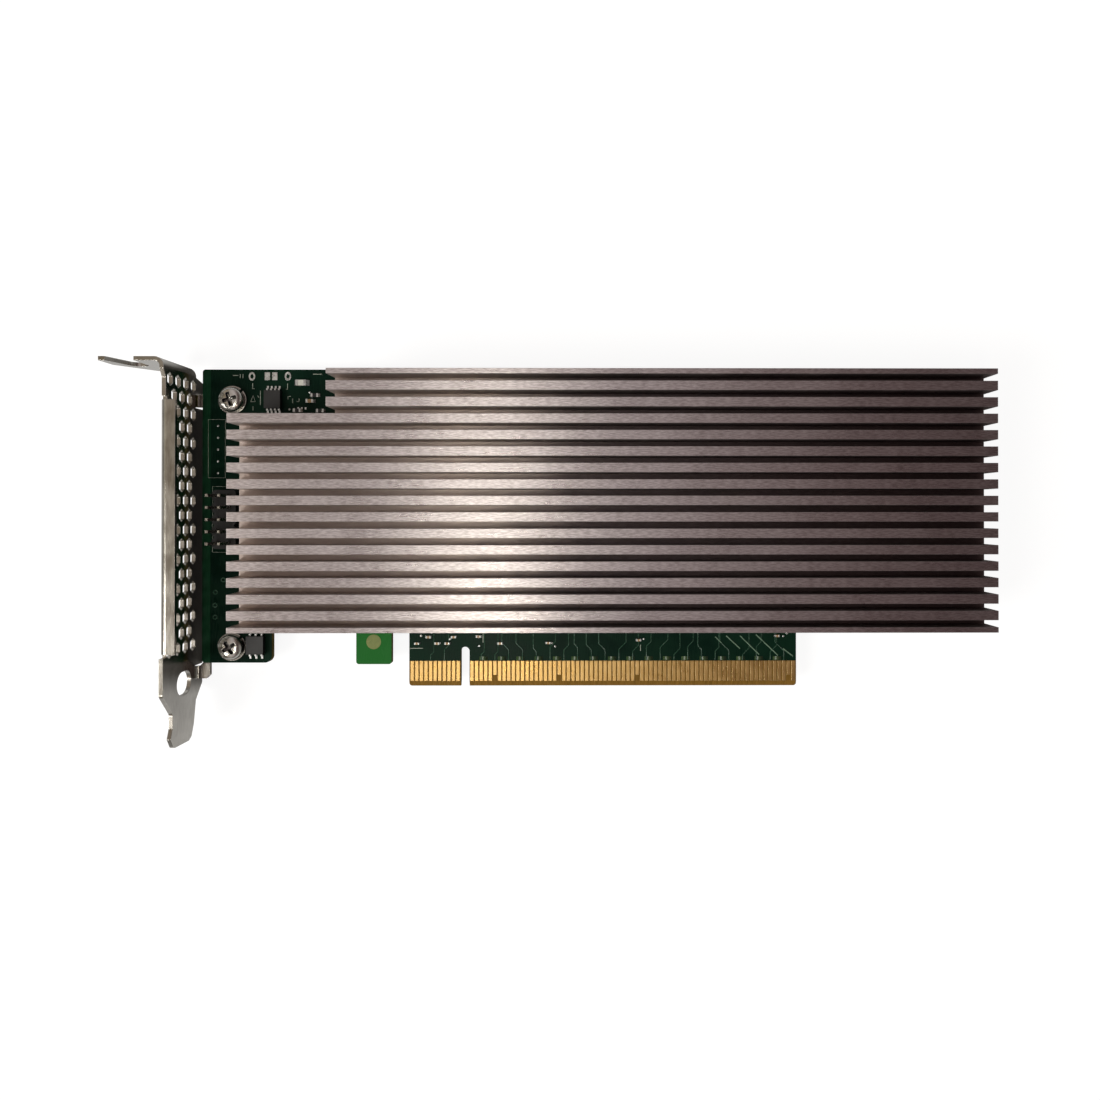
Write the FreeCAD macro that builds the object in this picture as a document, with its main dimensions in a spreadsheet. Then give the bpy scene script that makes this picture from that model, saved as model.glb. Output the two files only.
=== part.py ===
import FreeCAD, Part
import Sketcher
import math
import os
import re

# Passive accelerator card: a low-profile expansion card with a finned heatsink,
# a folded and perforated mounting bracket and a sixteen-lane card edge.
#
# Frame, in millimetres: X runs along the card, from the bracket (-X) to the far
# end; Y rises from the bottom of the card edge to the top of the board; Z rises
# out of the component side.  The origin is at the middle of the key notch, on
# the bottom line of the card edge and half-way through the board.

os.makedirs("parts", exist_ok=True)
doc = FreeCAD.newDocument("accelerator_card")


# ---------------------------------------------------------------- dimensions

SIZES = {
    # circuit board
    "board_length": 167.65,
    "board_height": 68.9,
    "board_thickness": 1.57,
    "key_to_bracket_end": 57.15,
    "lower_edge_height": 12.6,
    "foot_width": 15.15,
    "foot_height": 5.1,
    "foot_radius": 1.5,
    "board_radius": 0.6,
    # small tab beside the card edge
    "tab_to_key": 23.7,
    "tab_width": 7.7,
    "tab_height": 4.75,
    # card edge and its contacts
    "edge_to_key": 12.15,
    "edge_width": 84.3,
    "edge_bevel_height": 1.1,
    "edge_bevel_depth": 0.38,
    "key_width": 1.9,
    "key_height": 8.5,
    "contact_pitch": 1.0,
    "contact_width": 0.7,
    "contact_height": 4.35,
    "contact_rise": 1.1,
    "contact_thickness": 0.05,
    "contact_to_key": 1.5,
    "short_contact_loss": 1.3,
    "contacts_before_key": 11,
    "contacts_after_key": 71,
    # heatsink
    "heatsink_length": 156.5,
    "heatsink_end_margin": 0.3,
    "heatsink_top_margin": 1.85,
    "heatsink_clearance": 4.3,
    "heatsink_base": 3.0,
    "fin_height": 6.7,
    "fin_count": 17,
    "fin_thickness": 1.9,
    "fin_gap": 1.44,
    "edge_fin_thickness": 1.08,
    "corner_cut_length": 20.0,
    "corner_cut_fins": 3,
    "boss_diameter": 6.0,
    "pedestal_size": 40.0,
    # screws that hold the heatsink from the solder side
    "heatsink_screw_diameter": 2.5,
    "heatsink_screw_clearance": 0.2,
    "heatsink_screw_engagement": 5.0,
    "heatsink_head_diameter": 4.6,
    "heatsink_head_height": 1.5,
    "heatsink_screw_pitch": 62.0,
    "heatsink_screw_columns": 3,
    "heatsink_screw_inset": 6.2,
    "heatsink_screw_edge": 5.5,
    "washer_diameter": 6.0,
    "washer_thickness": 0.5,
    # processor package
    "processor_to_key": 11.0,
    "substrate_size": 42.5,
    "substrate_thickness": 1.4,
    "lid_size": 38.0,
    "lid_thickness": 1.8,
    "thermal_pad_thickness": 0.25,
    # bracket
    "sheet_thickness": 0.86,
    "bend_radius": 0.5,
    "bracket_width": 18.42,
    "bracket_over_board": 0.5,
    "board_to_bracket": 1.9,
    "bracket_rise": 13.9,
    "stiffener_low": 8.9,
    "stiffener_to_top": 8.7,
    "stiffener_width": 3.2,
    "relief_width": 0.8,
    "edge_recess": 1.0,
    "edge_recess_to_top": 4.1,
    "edge_recess_slope": 1.7,
    "flap_bend_radius": 1.1,
    "flap_reach": 12.4,
    "flap_span": 15.0,
    "flap_bevel_along": 6.3,
    "flap_bevel_across": 9.3,
    "notch_offset": 5.25,
    "notch_width": 3.55,
    "notch_flare": 2.5,
    "notch_depth": 7.7,
    "notch_radius": 1.6,
    "tail_length": 11.3,
    "tail_taper": 4.4,
    "shoulder_drop": 3.0,
    "tail_slot_length": 6.6,
    "tail_slot_width": 5.0,
    "tail_slot_height": 1.5,
    "vent_size": 2.4,
    "vent_pitch": 3.6,
    "vent_row_pitch": 3.118,
    "vent_first_row": 9.1,
    "vent_rows": 10,
    "vents_across": 4,
    "vent_margin": 4.8,
    # bracket screws
    "bracket_screw_inset": 6.65,
    "lower_screw_height": 8.65,
    "upper_screw_drop": 6.7,
    "bracket_screw_diameter": 3.0,
    "bracket_screw_clearance": 0.1,
    "bracket_head_diameter": 5.4,
    "bracket_head_height": 1.9,
    "lock_washer_diameter": 6.1,
    "lock_washer_thickness": 0.6,
    "ear_radius": 3.6,
    "ear_neck": 2.7,
    "lower_neck_low": 1.4,
    "ear_relief": 0.25,
    # pin header
    "header_pitch": 2.54,
    "header_rows": 5,
    "header_columns": 2,
    "header_inset": 4.38,
    "header_first_row": 31.17,
    "header_body_height": 2.5,
    "header_pin_size": 0.64,
    "header_pin_rise": 8.5,
    "header_pin_tail": 1.2,
    "header_hole_clearance": 0.1,
    # parts soldered to the component side
    "memory_length": 11.0,
    "memory_width": 9.0,
    "memory_height": 1.1,
    "memory_gap": 1.0,
    "memory_to_substrate": 3.4,
    "memory_per_side": 3,
    "inductor_size": 9.0,
    "inductor_height": 3.6,
    "inductor_radius": 1.2,
    "inductor_pitch": 11.5,
    "inductor_count": 4,
    "power_stage_length": 6.0,
    "power_stage_width": 5.0,
    "power_stage_height": 0.9,
    "capacitor_length": 7.3,
    "capacitor_width": 4.3,
    "capacitor_height": 2.8,
    "controller_size": 7.0,
    "controller_height": 0.85,
    "oscillator_length": 5.0,
    "oscillator_width": 3.2,
    "oscillator_height": 1.1,
    "fuse_length": 2.3,
    "fuse_width": 1.3,
    "fuse_height": 0.9,
    "chip_lift": 0.1,
    "chip_height": 1.4,
    "chip_width": 3.9,
    "lead_width": 0.42,
    "lead_thickness": 0.2,
    "lead_reach": 1.05,
    "lead_foot": 0.6,
    "small_length": 1.6,
    "small_width": 0.8,
    "resistor_height": 0.45,
    "ceramic_height": 0.8,
    "tiny_length": 1.0,
    "tiny_width": 0.5,
    "tiny_height": 0.4,
}

# Places worked out from the sizes.  Each one may use those above it.
PLACES = {
    "front": "board_thickness / 2",
    "rear": "-board_thickness / 2",
    "board_left": "-key_to_bracket_end",
    "board_right": "board_left + board_length",
    "foot_right": "board_left + foot_width",
    "tab_left": "-tab_to_key",
    "tab_right": "tab_left + tab_width",
    "edge_left": "-edge_to_key",
    "edge_right": "edge_left + edge_width",
    "sink_right": "board_right - heatsink_end_margin",
    "sink_left": "sink_right - heatsink_length",
    "sink_high": "board_height - heatsink_top_margin",
    "fin_step": "fin_thickness + fin_gap",
    "sink_width": "2 * edge_fin_thickness + fin_gap + (fin_count - 2) * fin_step",
    "sink_low": "sink_high - sink_width",
    "sink_under": "front + heatsink_clearance",
    "sink_floor": "sink_under + heatsink_base",
    "sink_top": "sink_floor + fin_height",
    "corner_cut": "edge_fin_thickness + fin_gap + (corner_cut_fins - 1) * fin_step",
    "screw_row_pitch": "sink_width - 2 * heatsink_screw_edge",
    "screw_low": "sink_low + heatsink_screw_edge",
    "screw_span": "(heatsink_screw_columns - 1) * heatsink_screw_pitch",
    "screw_left": "sink_right - heatsink_screw_inset - screw_span",
    "screw_bore": "heatsink_screw_diameter + heatsink_screw_clearance",
    "middle": "(sink_low + sink_high) / 2",
    "lid_low": "front + substrate_thickness",
    "lid_high": "lid_low + lid_thickness",
    "pad_high": "lid_high + thermal_pad_thickness",
    "inner": "board_left - board_to_bracket",
    "outer": "inner - sheet_thickness",
    "near": "front + bracket_rise",
    "far": "near - bracket_width",
    "bend_outer": "bend_radius + sheet_thickness",
    "bend_end": "bend_outer + 0.2",
    "flap_bend_outer": "flap_bend_radius + sheet_thickness",
    "flap_bend_end": "flap_bend_outer + 0.2",
    "bracket_top": "board_height + bracket_over_board",
    "stiffener_high": "bracket_top - stiffener_to_top",
    "recess_high": "bracket_top - edge_recess_to_top",
    "upper_screw_height": "board_height - upper_screw_drop",
    "ear_under": "rear - sheet_thickness",
    "ear_start": "inner + bend_radius + 0.2",
    "screw_x": "board_left + bracket_screw_inset",
    "header_x": "board_left + header_inset",
}


def cells(expression):
    """The expression with each named value written as its cell in one of the sheets."""
    def cell(match):
        word = match.group(0)
        if word in SIZES:
            return f"sizes.{word}"
        return f"places.{word}" if word in PLACES else word
    return re.sub(r"[a-z][a-z_]*", cell, str(expression))


def make_sheet(name, contents):
    """A spreadsheet with one value in each row, beside its name and with it as alias."""
    sheet = doc.addObject("Spreadsheet::Sheet", name)
    for row, (alias, content) in enumerate(contents.items(), start=1):
        sheet.set(f"A{row}", alias)
        sheet.set(f"B{row}", str(content))
        sheet.setAlias(f"B{row}", alias)
    doc.recompute()
    return sheet


sizes = make_sheet("sizes", SIZES)
places = make_sheet("places", {alias: "=" + cells(formula).replace("places.", "")
                               for alias, formula in PLACES.items()})


def number(expression):
    """The present value of an expression over the two sheets."""
    return float(sizes.evalExpression(cells(expression)))


def bind(thing, **expressions):
    """Tie properties of an object to expressions."""
    for name, expression in expressions.items():
        thing.setExpression(name, cells(expression))
    return thing


def put(thing, x="0", y="0", z="0"):
    """Tie an object's place to expressions."""
    for axis, expression in zip("xyz", (x, y, z)):
        thing.setExpression(f"Placement.Base.{axis}", cells(expression))
    return thing


# ------------------------------------------------------- PartDesign helpers

def make_body(label, several=False):
    body = doc.addObject("PartDesign::Body", label)
    body.Label = label
    body.AllowCompound = several
    return body


def origin_feature(body, role):
    return next(item for item in body.Origin.OriginFeatures if item.Role == role)


def sketch_on(body, role, offset="0"):
    """A sketch on one of the body's origin planes, moved along its normal by offset."""
    sketch = body.newObject("Sketcher::SketchObject", f"{body.Name}_sketch")
    sketch.AttachmentSupport = [(origin_feature(body, role), "")]
    sketch.MapMode = "FlatFace"
    sketch.setExpression("AttachmentOffset.Base.z", cells(offset))
    return sketch


def hold(sketch, kind, first, expression):
    """Add a dimension to the sketch and tie it to an expression."""
    index = sketch.addConstraint(Sketcher.Constraint(kind, *first, number(expression)))
    sketch.setExpression(f"Constraints[{index}]", cells(expression))


def outline(sketch, corners):
    """Draw a closed straight-sided outline; each corner is a pair of expressions."""
    ends = [FreeCAD.Vector(number(x), number(y), 0) for x, y in corners]
    count = len(ends)
    first = sketch.GeometryCount
    for index in range(count):
        sketch.addGeometry(Part.LineSegment(ends[index], ends[(index + 1) % count]))
    for index, (x, y) in enumerate(corners):
        line = first + index
        follower = first + (index + 1) % count
        sketch.addConstraint(Sketcher.Constraint("Coincident", line, 2, follower, 1))
        hold(sketch, "DistanceX", (-1, 1, line, 1), x)
        hold(sketch, "DistanceY", (-1, 1, line, 1), y)
    return sketch


def rectangle(sketch, left, low, right, high):
    return outline(sketch, [(left, low), (right, low), (right, high), (left, high)])


def centred(sketch, width, height, x="0", y="0"):
    return rectangle(sketch, f"{x} - ({width}) / 2", f"{y} - ({height}) / 2",
                     f"{x} + ({width}) / 2", f"{y} + ({height}) / 2")


def circle(sketch, diameter, x="0", y="0"):
    centre = FreeCAD.Vector(number(x), number(y), 0)
    round_edge = Part.Circle(centre, FreeCAD.Vector(0, 0, 1), number(diameter) / 2)
    index = sketch.addGeometry(round_edge)
    hold(sketch, "Radius", (index,), f"({diameter}) / 2")
    hold(sketch, "DistanceX", (-1, 1, index, 3), x)
    hold(sketch, "DistanceY", (-1, 1, index, 3), y)
    return sketch


def pad(body, sketch, length, back=False, both=False):
    """Add material: forward along the sketch's normal, back against it, or to both sides."""
    feature = body.newObject("PartDesign::Pad", f"{body.Name}_pad")
    feature.Profile = (sketch, [""])
    feature.Reversed = back
    feature.SideType = "Symmetric" if both else "One side"
    bind(feature, Length=length)
    doc.recompute()
    return feature


def pocket(body, sketch, length=None, back=False):
    """Cut material away, right through both ways unless a length is given.

    A length cuts against the sketch's normal, or along it where back is set."""
    feature = body.newObject("PartDesign::Pocket", f"{body.Name}_pocket")
    feature.Profile = (sketch, [""])
    before = feature.BaseFeature.Shape.Volume
    if length is None:
        feature.SideType = "Symmetric"
        feature.Type = "ThroughAll"
    else:
        feature.Reversed = back
        bind(feature, Length=length)
    doc.recompute()
    if feature.Shape.Volume > before - 1e-6:
        raise ValueError(f"{feature.Name} cuts nothing")
    return feature


def pattern(body, original, role, step, count, back=False):
    """Repeat one feature in a line, or the whole body if no feature is given."""
    feature = body.newObject("PartDesign::LinearPattern", f"{body.Name}_pattern")
    if original is None:
        feature.TransformMode = "Whole shape"
    else:
        feature.Originals = [original]
    set_row(feature, body, role, step, count, back)
    body.Tip = feature
    doc.recompute()
    return feature


def set_row(feature, body, role, step, count, back=False):
    feature.Direction = (origin_feature(body, role), [""])
    feature.Mode = "Spacing"
    feature.Reversed = back
    bind(feature, Offset=step, Occurrences=count)


def grid(body, original, *rows):
    """Repeat one feature in two directions; each row is (axis role, step, count)."""
    feature = body.newObject("PartDesign::MultiTransform", f"{body.Name}_grid")
    feature.Originals = [original]
    steps = []
    for role, step, count in rows:
        line = doc.addObject("PartDesign::LinearPattern", f"{body.Name}_row")
        body.addObject(line)
        set_row(line, body, role, step, count)
        steps.append(line)
    feature.Transformations = steps
    body.Tip = feature
    doc.recompute()
    return feature


def edges_near(shape, along, spots, span):
    """Names of the straight edges along one axis that pass through the given spots.

    With a span, only edges whose middle lies between its two ends count."""
    names = []
    low, high = [number(end) for end in span] if span else (-math.inf, math.inf)
    for index, edge in enumerate(shape.Edges, start=1):
        if len(edge.Vertexes) != 2:
            continue
        start, end = (vertex.Point for vertex in edge.Vertexes)
        run = end - start
        if abs(getattr(run.normalize(), along)) < 0.999:
            continue
        if not low < (getattr(start, along) + getattr(end, along)) / 2 < high:
            continue
        across = [axis for axis in "xyz" if axis != along]
        here = [getattr(start, axis) for axis in across]
        for spot in spots:
            if math.dist(here, [number(value) for value in spot]) < 0.01:
                names.append(f"Edge{index}")
    return names


def soften(body, kind, base, along, spots, size, span=None):
    """Round or bevel the edges along one axis that pass through the given spots."""
    names = edges_near(base.Shape, along, spots, span)
    if len(names) < len(spots):
        raise ValueError(f"{body.Name}: {len(names)} edges found for {len(spots)} spots")
    feature = body.newObject(f"PartDesign::{kind}", f"{body.Name}_{kind.lower()}")
    feature.Base = (base, names)
    bind(feature, **{"Radius" if kind == "Fillet" else "Size": size})
    doc.recompute()
    if feature.Shape.isNull() or not feature.isValid():
        raise ValueError(f"{feature.Name} failed")
    return feature


def finish(body, feature):
    body.Tip = feature
    doc.recompute()
    return body


# ------------------------------------------------------------ circuit board

def make_circuit_board():
    """Laminate with a foot by the bracket, a small tab, the card edge and its key notch."""
    body = make_body("circuit_board")
    sketch = outline(sketch_on(body, "XY_Plane"), [
        ("board_left", "foot_height"),
        ("foot_right", "foot_height"),
        ("foot_right", "lower_edge_height"),
        ("tab_left", "lower_edge_height"),
        ("tab_left", "tab_height"),
        ("tab_right", "tab_height"),
        ("tab_right", "lower_edge_height"),
        ("edge_left", "lower_edge_height"),
        ("edge_left", "0"),
        ("edge_right", "0"),
        ("edge_right", "lower_edge_height"),
        ("board_right", "lower_edge_height"),
        ("board_right", "board_height"),
        ("board_left", "board_height"),
    ])
    board = pad(body, sketch, "board_thickness", both=True)
    board = soften(body, "Fillet", board, "z", [("foot_right", "foot_height")], "foot_radius")
    board = soften(body, "Fillet", board, "z", [
        ("tab_left", "tab_height"), ("tab_right", "tab_height"),
        ("edge_left", "0"), ("edge_right", "0"),
        ("board_right", "lower_edge_height"), ("board_right", "board_height"),
        ("board_left", "board_height"), ("board_left", "foot_height"),
    ], "board_radius")

    notch = rectangle(sketch_on(body, "XY_Plane"), "-key_width / 2", "-1",
                      "key_width / 2", "key_height - key_width / 2")
    pocket(body, notch)
    notch_end = circle(sketch_on(body, "XY_Plane"), "key_width", y="key_height - key_width / 2")
    pocket(body, notch_end)

    for side in ("", "-"):
        bevel = outline(sketch_on(body, "YZ_Plane"), [
            ("-0.1", f"{side}(front - edge_bevel_depth)"),
            ("0", f"{side}(front - edge_bevel_depth)"),
            ("edge_bevel_height", f"{side}front"),
            ("edge_bevel_height", f"{side}(front + 0.1)"),
            ("-0.1", f"{side}(front + 0.1)"),
        ])
        pocket(body, bevel)

    for height in ("lower_screw_height", "upper_screw_height"):
        hole = circle(sketch_on(body, "XY_Plane"), "bracket_screw_diameter"
                      " + 2 * bracket_screw_clearance", "screw_x", height)
        pocket(body, hole)
    hole = circle(sketch_on(body, "XY_Plane"), "screw_bore", "screw_left", "screw_low")
    grid(body, pocket(body, hole),
         ("X_Axis", "heatsink_screw_pitch", "heatsink_screw_columns"),
         ("Y_Axis", "screw_row_pitch", "2"))
    hole = circle(sketch_on(body, "XY_Plane"), "1.4143 * header_pin_size"
                  " + header_hole_clearance", "header_x", "header_first_row")
    grid(body, pocket(body, hole),
         ("X_Axis", "header_pitch", "header_columns"),
         ("Y_Axis", "header_pitch", "header_rows"))
    return body


def make_contacts(label, front_side, short_ones):
    """The gold contacts of one side; each entry of short_ones is (first contact, steps on)."""
    body = make_body(label, several=True)
    face = "front" if front_side else "rear"
    first_before = "-(contact_to_key + (contacts_before_key - 1) * contact_pitch)"
    for first, count in ((first_before, "contacts_before_key"),
                         ("contact_to_key", "contacts_after_key")):
        sketch = rectangle(sketch_on(body, "XY_Plane", face),
                           f"{first} - contact_width / 2", "contact_rise",
                           f"{first} + contact_width / 2", "contact_rise + contact_height")
        strip = pad(body, sketch, "contact_thickness", back=not front_side)
        pattern(body, strip, "X_Axis", "contact_pitch", count)
    for after_key, steps in short_ones:
        first = "contact_to_key" if after_key else first_before
        middle = f"({first} + {steps} * contact_pitch)"
        sketch = rectangle(sketch_on(body, "XY_Plane", face),
                           f"{middle} - contact_pitch / 2", "0",
                           f"{middle} + contact_pitch / 2", "contact_rise + short_contact_loss")
        body.Tip = pocket(body, sketch, "2 * contact_thickness", back=front_side)
    doc.recompute()
    return body


# ----------------------------------------------------------------- heatsink

def make_heatsink():
    """Extruded comb of fins with a cleared corner, a pedestal and six screw bosses."""
    body = make_body("heatsink")
    block = rectangle(sketch_on(body, "XY_Plane", "sink_under"),
                      "sink_left", "sink_low", "sink_right", "sink_high")
    pad(body, block, "heatsink_base + fin_height")
    groove = rectangle(sketch_on(body, "YZ_Plane"),
                       "sink_low + edge_fin_thickness", "sink_floor",
                       "sink_low + edge_fin_thickness + fin_gap", "sink_top + 1")
    pattern(body, pocket(body, groove), "Y_Axis", "fin_step", "fin_count - 1")
    corner = rectangle(sketch_on(body, "XY_Plane"), "sink_left - 1", "sink_high - corner_cut",
                       "sink_left + corner_cut_length", "sink_high + 1")
    pocket(body, corner)
    pedestal = centred(sketch_on(body, "XY_Plane", "pad_high"), "pedestal_size",
                       "pedestal_size", "processor_to_key", "middle")
    pad(body, pedestal, "sink_under - pad_high")
    boss = circle(sketch_on(body, "XY_Plane", "front"), "boss_diameter",
                  "screw_left", "screw_low")
    rows = (("X_Axis", "heatsink_screw_pitch", "heatsink_screw_columns"),
            ("Y_Axis", "screw_row_pitch", "2"))
    grid(body, pad(body, boss, "heatsink_clearance"), *rows)
    thread = circle(sketch_on(body, "XY_Plane", "front"), "heatsink_screw_diameter",
                    "screw_left", "screw_low")
    grid(body, pocket(body, thread, "heatsink_screw_engagement + 1", back=True), *rows)
    return body


# ------------------------------------------------------------------ bracket

def make_ear(body, neck_low, neck_high, plate, screw_height):
    """A lug folded in behind the board, from a short neck to a round eye for the screw."""
    neck = outline(sketch_on(body, "XZ_Plane", f"-({neck_low})"), [
        ("outer", "ear_under + bend_end"),
        ("outer", "ear_under"),
        ("ear_start", "ear_under"),
        ("ear_start", "rear"),
        ("inner", "rear"),
        ("inner", "ear_under + bend_end"),
    ])
    fold = pad(body, neck, f"({neck_high}) - ({neck_low})", back=True)
    span = (neck_low, neck_high)
    fold = soften(body, "Fillet", fold, "y", [("outer", "ear_under")], "bend_outer", span)
    fold = soften(body, "Fillet", fold, "y", [("inner", "rear")], "bend_radius", span)
    pad(body, outline(sketch_on(body, "XY_Plane", "ear_under"), plate), "sheet_thickness")
    eye = circle(sketch_on(body, "XY_Plane", "ear_under"), "2 * ear_radius",
                 "screw_x", screw_height)
    pad(body, eye, "sheet_thickness")
    thread = circle(sketch_on(body, "XY_Plane"), "bracket_screw_diameter",
                    "screw_x", screw_height)
    pocket(body, thread)


def make_bracket():
    """One folded sheet: face with vents, top flap, stiffening edge, two ears and a tail."""
    body = make_body("bracket")
    neck_low = "upper_screw_height - ear_neck / 2"
    neck_high = "upper_screw_height + ear_neck / 2"
    low_neck_high = "lower_neck_low + ear_neck"
    edge = "near - bend_end"
    face = outline(sketch_on(body, "YZ_Plane", "inner"), [
        ("bracket_top - flap_bend_end", "near"),
        ("recess_high + edge_recess_slope", "near"),
        ("recess_high", "near - edge_recess"),
        ("stiffener_high + relief_width", "near - edge_recess"),
        ("stiffener_high + relief_width", edge),
        ("stiffener_low - relief_width", edge),
        ("stiffener_low - relief_width", "near"),
        ("0.4", "near"),
        ("-0.36 * tail_length", "near - tail_taper"),
        ("-0.62 * tail_length", "near - tail_taper"),
        ("-0.8 * tail_length", "near - 0.8 * tail_taper"),
        ("-0.99 * tail_length", "near - 1.14 * tail_taper"),
        ("-tail_length", "near - 2.7 * tail_taper"),
        ("-0.94 * tail_length", "near - 3 * tail_taper"),
        ("-0.72 * tail_length", "near - 3.25 * tail_taper"),
        ("-0.28 * tail_length", "near - 3.48 * tail_taper"),
        ("0.1", "far"),
        ("lower_neck_low - ear_relief", "far"),
        ("lower_neck_low - ear_relief", "ear_under + bend_end"),
        (f"{low_neck_high} + ear_relief", "ear_under + bend_end"),
        (f"{low_neck_high} + ear_relief", "far"),
        (f"{neck_low} - ear_relief", "far"),
        (f"{neck_low} - ear_relief", "ear_under + bend_end"),
        (f"{neck_high} + ear_relief", "ear_under + bend_end"),
        (f"{neck_high} + ear_relief", "far"),
        ("bracket_top - shoulder_drop", "far"),
        ("bracket_top - flap_bend_end", "near - flap_span"),
    ])
    sheet = pad(body, face, "sheet_thickness", back=True)
    sheet = soften(body, "Fillet", sheet, "x", [
        ("-0.99 * tail_length", "near - 1.14 * tail_taper"),
        ("-0.94 * tail_length", "near - 3 * tail_taper"),
        ("0.4", "near"),
        ("-0.36 * tail_length", "near - tail_taper"),
    ], "1")

    flap = outline(sketch_on(body, "XY_Plane", "near - flap_span"), [
        ("inner", "bracket_top - flap_bend_end"),
        ("inner", "bracket_top"),
        ("outer - flap_reach", "bracket_top"),
        ("outer - flap_reach", "bracket_top - sheet_thickness"),
        ("outer", "bracket_top - sheet_thickness"),
        ("outer", "bracket_top - flap_bend_end"),
    ])
    fold = pad(body, flap, "flap_span")
    fold = soften(body, "Fillet", fold, "z", [("inner", "bracket_top")],
                  "flap_bend_outer")
    soften(body, "Fillet", fold, "z", [("outer", "bracket_top - sheet_thickness")],
           "flap_bend_radius")

    stiffener = outline(sketch_on(body, "XZ_Plane", "-stiffener_low"), [
        ("outer", edge),
        ("outer", "near"),
        ("outer + stiffener_width", "near"),
        ("outer + stiffener_width", "near - sheet_thickness"),
        ("inner", "near - sheet_thickness"),
        ("inner", edge),
    ])
    fold = pad(body, stiffener, "stiffener_high - stiffener_low", back=True)
    span = ("stiffener_low", "stiffener_high")
    fold = soften(body, "Fillet", fold, "y", [("outer", "near")], "bend_outer", span)
    soften(body, "Fillet", fold, "y", [("inner", "near - sheet_thickness")], "bend_radius", span)

    flap_low = "bracket_top - 2 * sheet_thickness"
    bevel = outline(sketch_on(body, "XZ_Plane", f"-({flap_low})"), [
        ("outer - flap_reach - 1", "near - flap_span - 1"),
        ("outer - flap_reach + flap_bevel_along", "near - flap_span - 1"),
        ("outer - flap_reach + flap_bevel_along", "near - flap_span"),
        ("outer - flap_reach", "near - flap_span + flap_bevel_across"),
        ("outer - flap_reach - 1", "near - flap_span + flap_bevel_across"),
    ])
    pocket(body, bevel, "3 * sheet_thickness")
    notch = outline(sketch_on(body, "XZ_Plane", f"-({flap_low})"), [
        ("outer - notch_offset", "near + 1"),
        ("outer - notch_offset", "near - notch_depth"),
        ("outer - notch_offset - notch_width", "near - notch_depth"),
        ("outer - notch_offset - notch_width - notch_flare", "near + 1"),
    ])
    cut = pocket(body, notch, "3 * sheet_thickness")
    soften(body, "Fillet", cut, "y", [
        ("outer - notch_offset", "near - notch_depth"),
        ("outer - notch_offset - notch_width", "near - notch_depth"),
    ], "notch_radius")

    make_ear(body, "lower_neck_low", low_neck_high, [
        ("ear_start", "lower_neck_low"),
        ("board_left + 0.3", "lower_neck_low"),
        ("board_left + 1.1", "lower_neck_low + 0.8"),
        ("board_left + 1.1", "foot_height - 0.05"),
        ("screw_x", "lower_screw_height - ear_radius"),
        ("screw_x", "lower_screw_height + ear_radius"),
        ("ear_start", low_neck_high),
    ], "lower_screw_height")
    make_ear(body, neck_low, neck_high, [
        ("ear_start", neck_low),
        ("screw_x", "upper_screw_height - ear_radius"),
        ("screw_x", "upper_screw_height + ear_radius"),
        ("ear_start", neck_high),
    ], "upper_screw_height")

    slot_middle = "near - tail_taper - 5.1"
    slot = centred(sketch_on(body, "YZ_Plane"), "tail_slot_width",
                   "tail_slot_length - tail_slot_width", "tail_slot_height", slot_middle)
    pocket(body, slot)
    for sign in ("+", "-"):
        end = circle(sketch_on(body, "YZ_Plane"), "tail_slot_width", "tail_slot_height",
                     f"{slot_middle} {sign} (tail_slot_length - tail_slot_width) / 2")
        pocket(body, end)
    return body


def cut_vents(body):
    """Two interleaved grids of six-sided holes through the face of the bracket."""
    across_corners = "vent_size / 0.866"
    for lower, step_in, fewer in (("vent_first_row", "0", "0"),
                                  ("vent_first_row + vent_row_pitch", "vent_pitch / 2", "1")):
        z = f"far + vent_margin + {step_in}"
        hexagon = outline(sketch_on(body, "YZ_Plane", "inner"), [
            (f"{lower} - {across_corners} / 2", z),
            (f"{lower} - {across_corners} / 4", f"{z} - vent_size / 2"),
            (f"{lower} + {across_corners} / 4", f"{z} - vent_size / 2"),
            (f"{lower} + {across_corners} / 2", z),
            (f"{lower} + {across_corners} / 4", f"{z} + vent_size / 2"),
            (f"{lower} - {across_corners} / 4", f"{z} + vent_size / 2"),
        ])
        hole = pocket(body, hexagon, "sheet_thickness")
        grid(body, hole, ("Z_Axis", "vent_pitch", f"vents_across - {fewer}"),
             ("Y_Axis", "2 * vent_row_pitch", f"vent_rows - {fewer}"))
    return body


# ------------------------------------------------------------------- screws

def make_screws(label, head, height, shank, length):
    """A pan-head screw with a cross recess, its head up and its seat at z = 0."""
    body = make_body(label, several=True)
    sketch = outline(sketch_on(body, "XZ_Plane"), [
        ("0", f"-({length})"),
        (f"{shank} / 2 - 0.3", f"-({length})"),
        (f"{shank} / 2", f"-({length}) + 0.3"),
        (f"{shank} / 2", "0"),
        (f"{head} / 2", "0"),
        (f"{head} / 2", f"0.4 * {height}"),
        (f"0.42 * {head}", f"0.76 * {height}"),
        (f"0.26 * {head}", f"0.95 * {height}"),
        ("0", height),
    ])
    turned = body.newObject("PartDesign::Revolution", f"{body.Name}_turned")
    turned.Profile = (sketch, [""])
    turned.ReferenceAxis = (sketch, ["V_Axis"])
    turned.Angle = 360
    doc.recompute()
    arm, half = f"0.3 * {head}", f"0.055 * {head}"
    cross = outline(sketch_on(body, "XY_Plane", height), [
        (half, half), (half, arm), (f"-{half}", arm), (f"-{half}", half),
        (f"-{arm}", half), (f"-{arm}", f"-{half}"), (f"-{half}", f"-{half}"),
        (f"-{half}", f"-{arm}"), (half, f"-{arm}"), (half, f"-{half}"),
        (arm, f"-{half}"), (arm, half),
    ])
    body.Tip = pocket(body, cross, f"0.6 * {height}")
    return body


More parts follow.
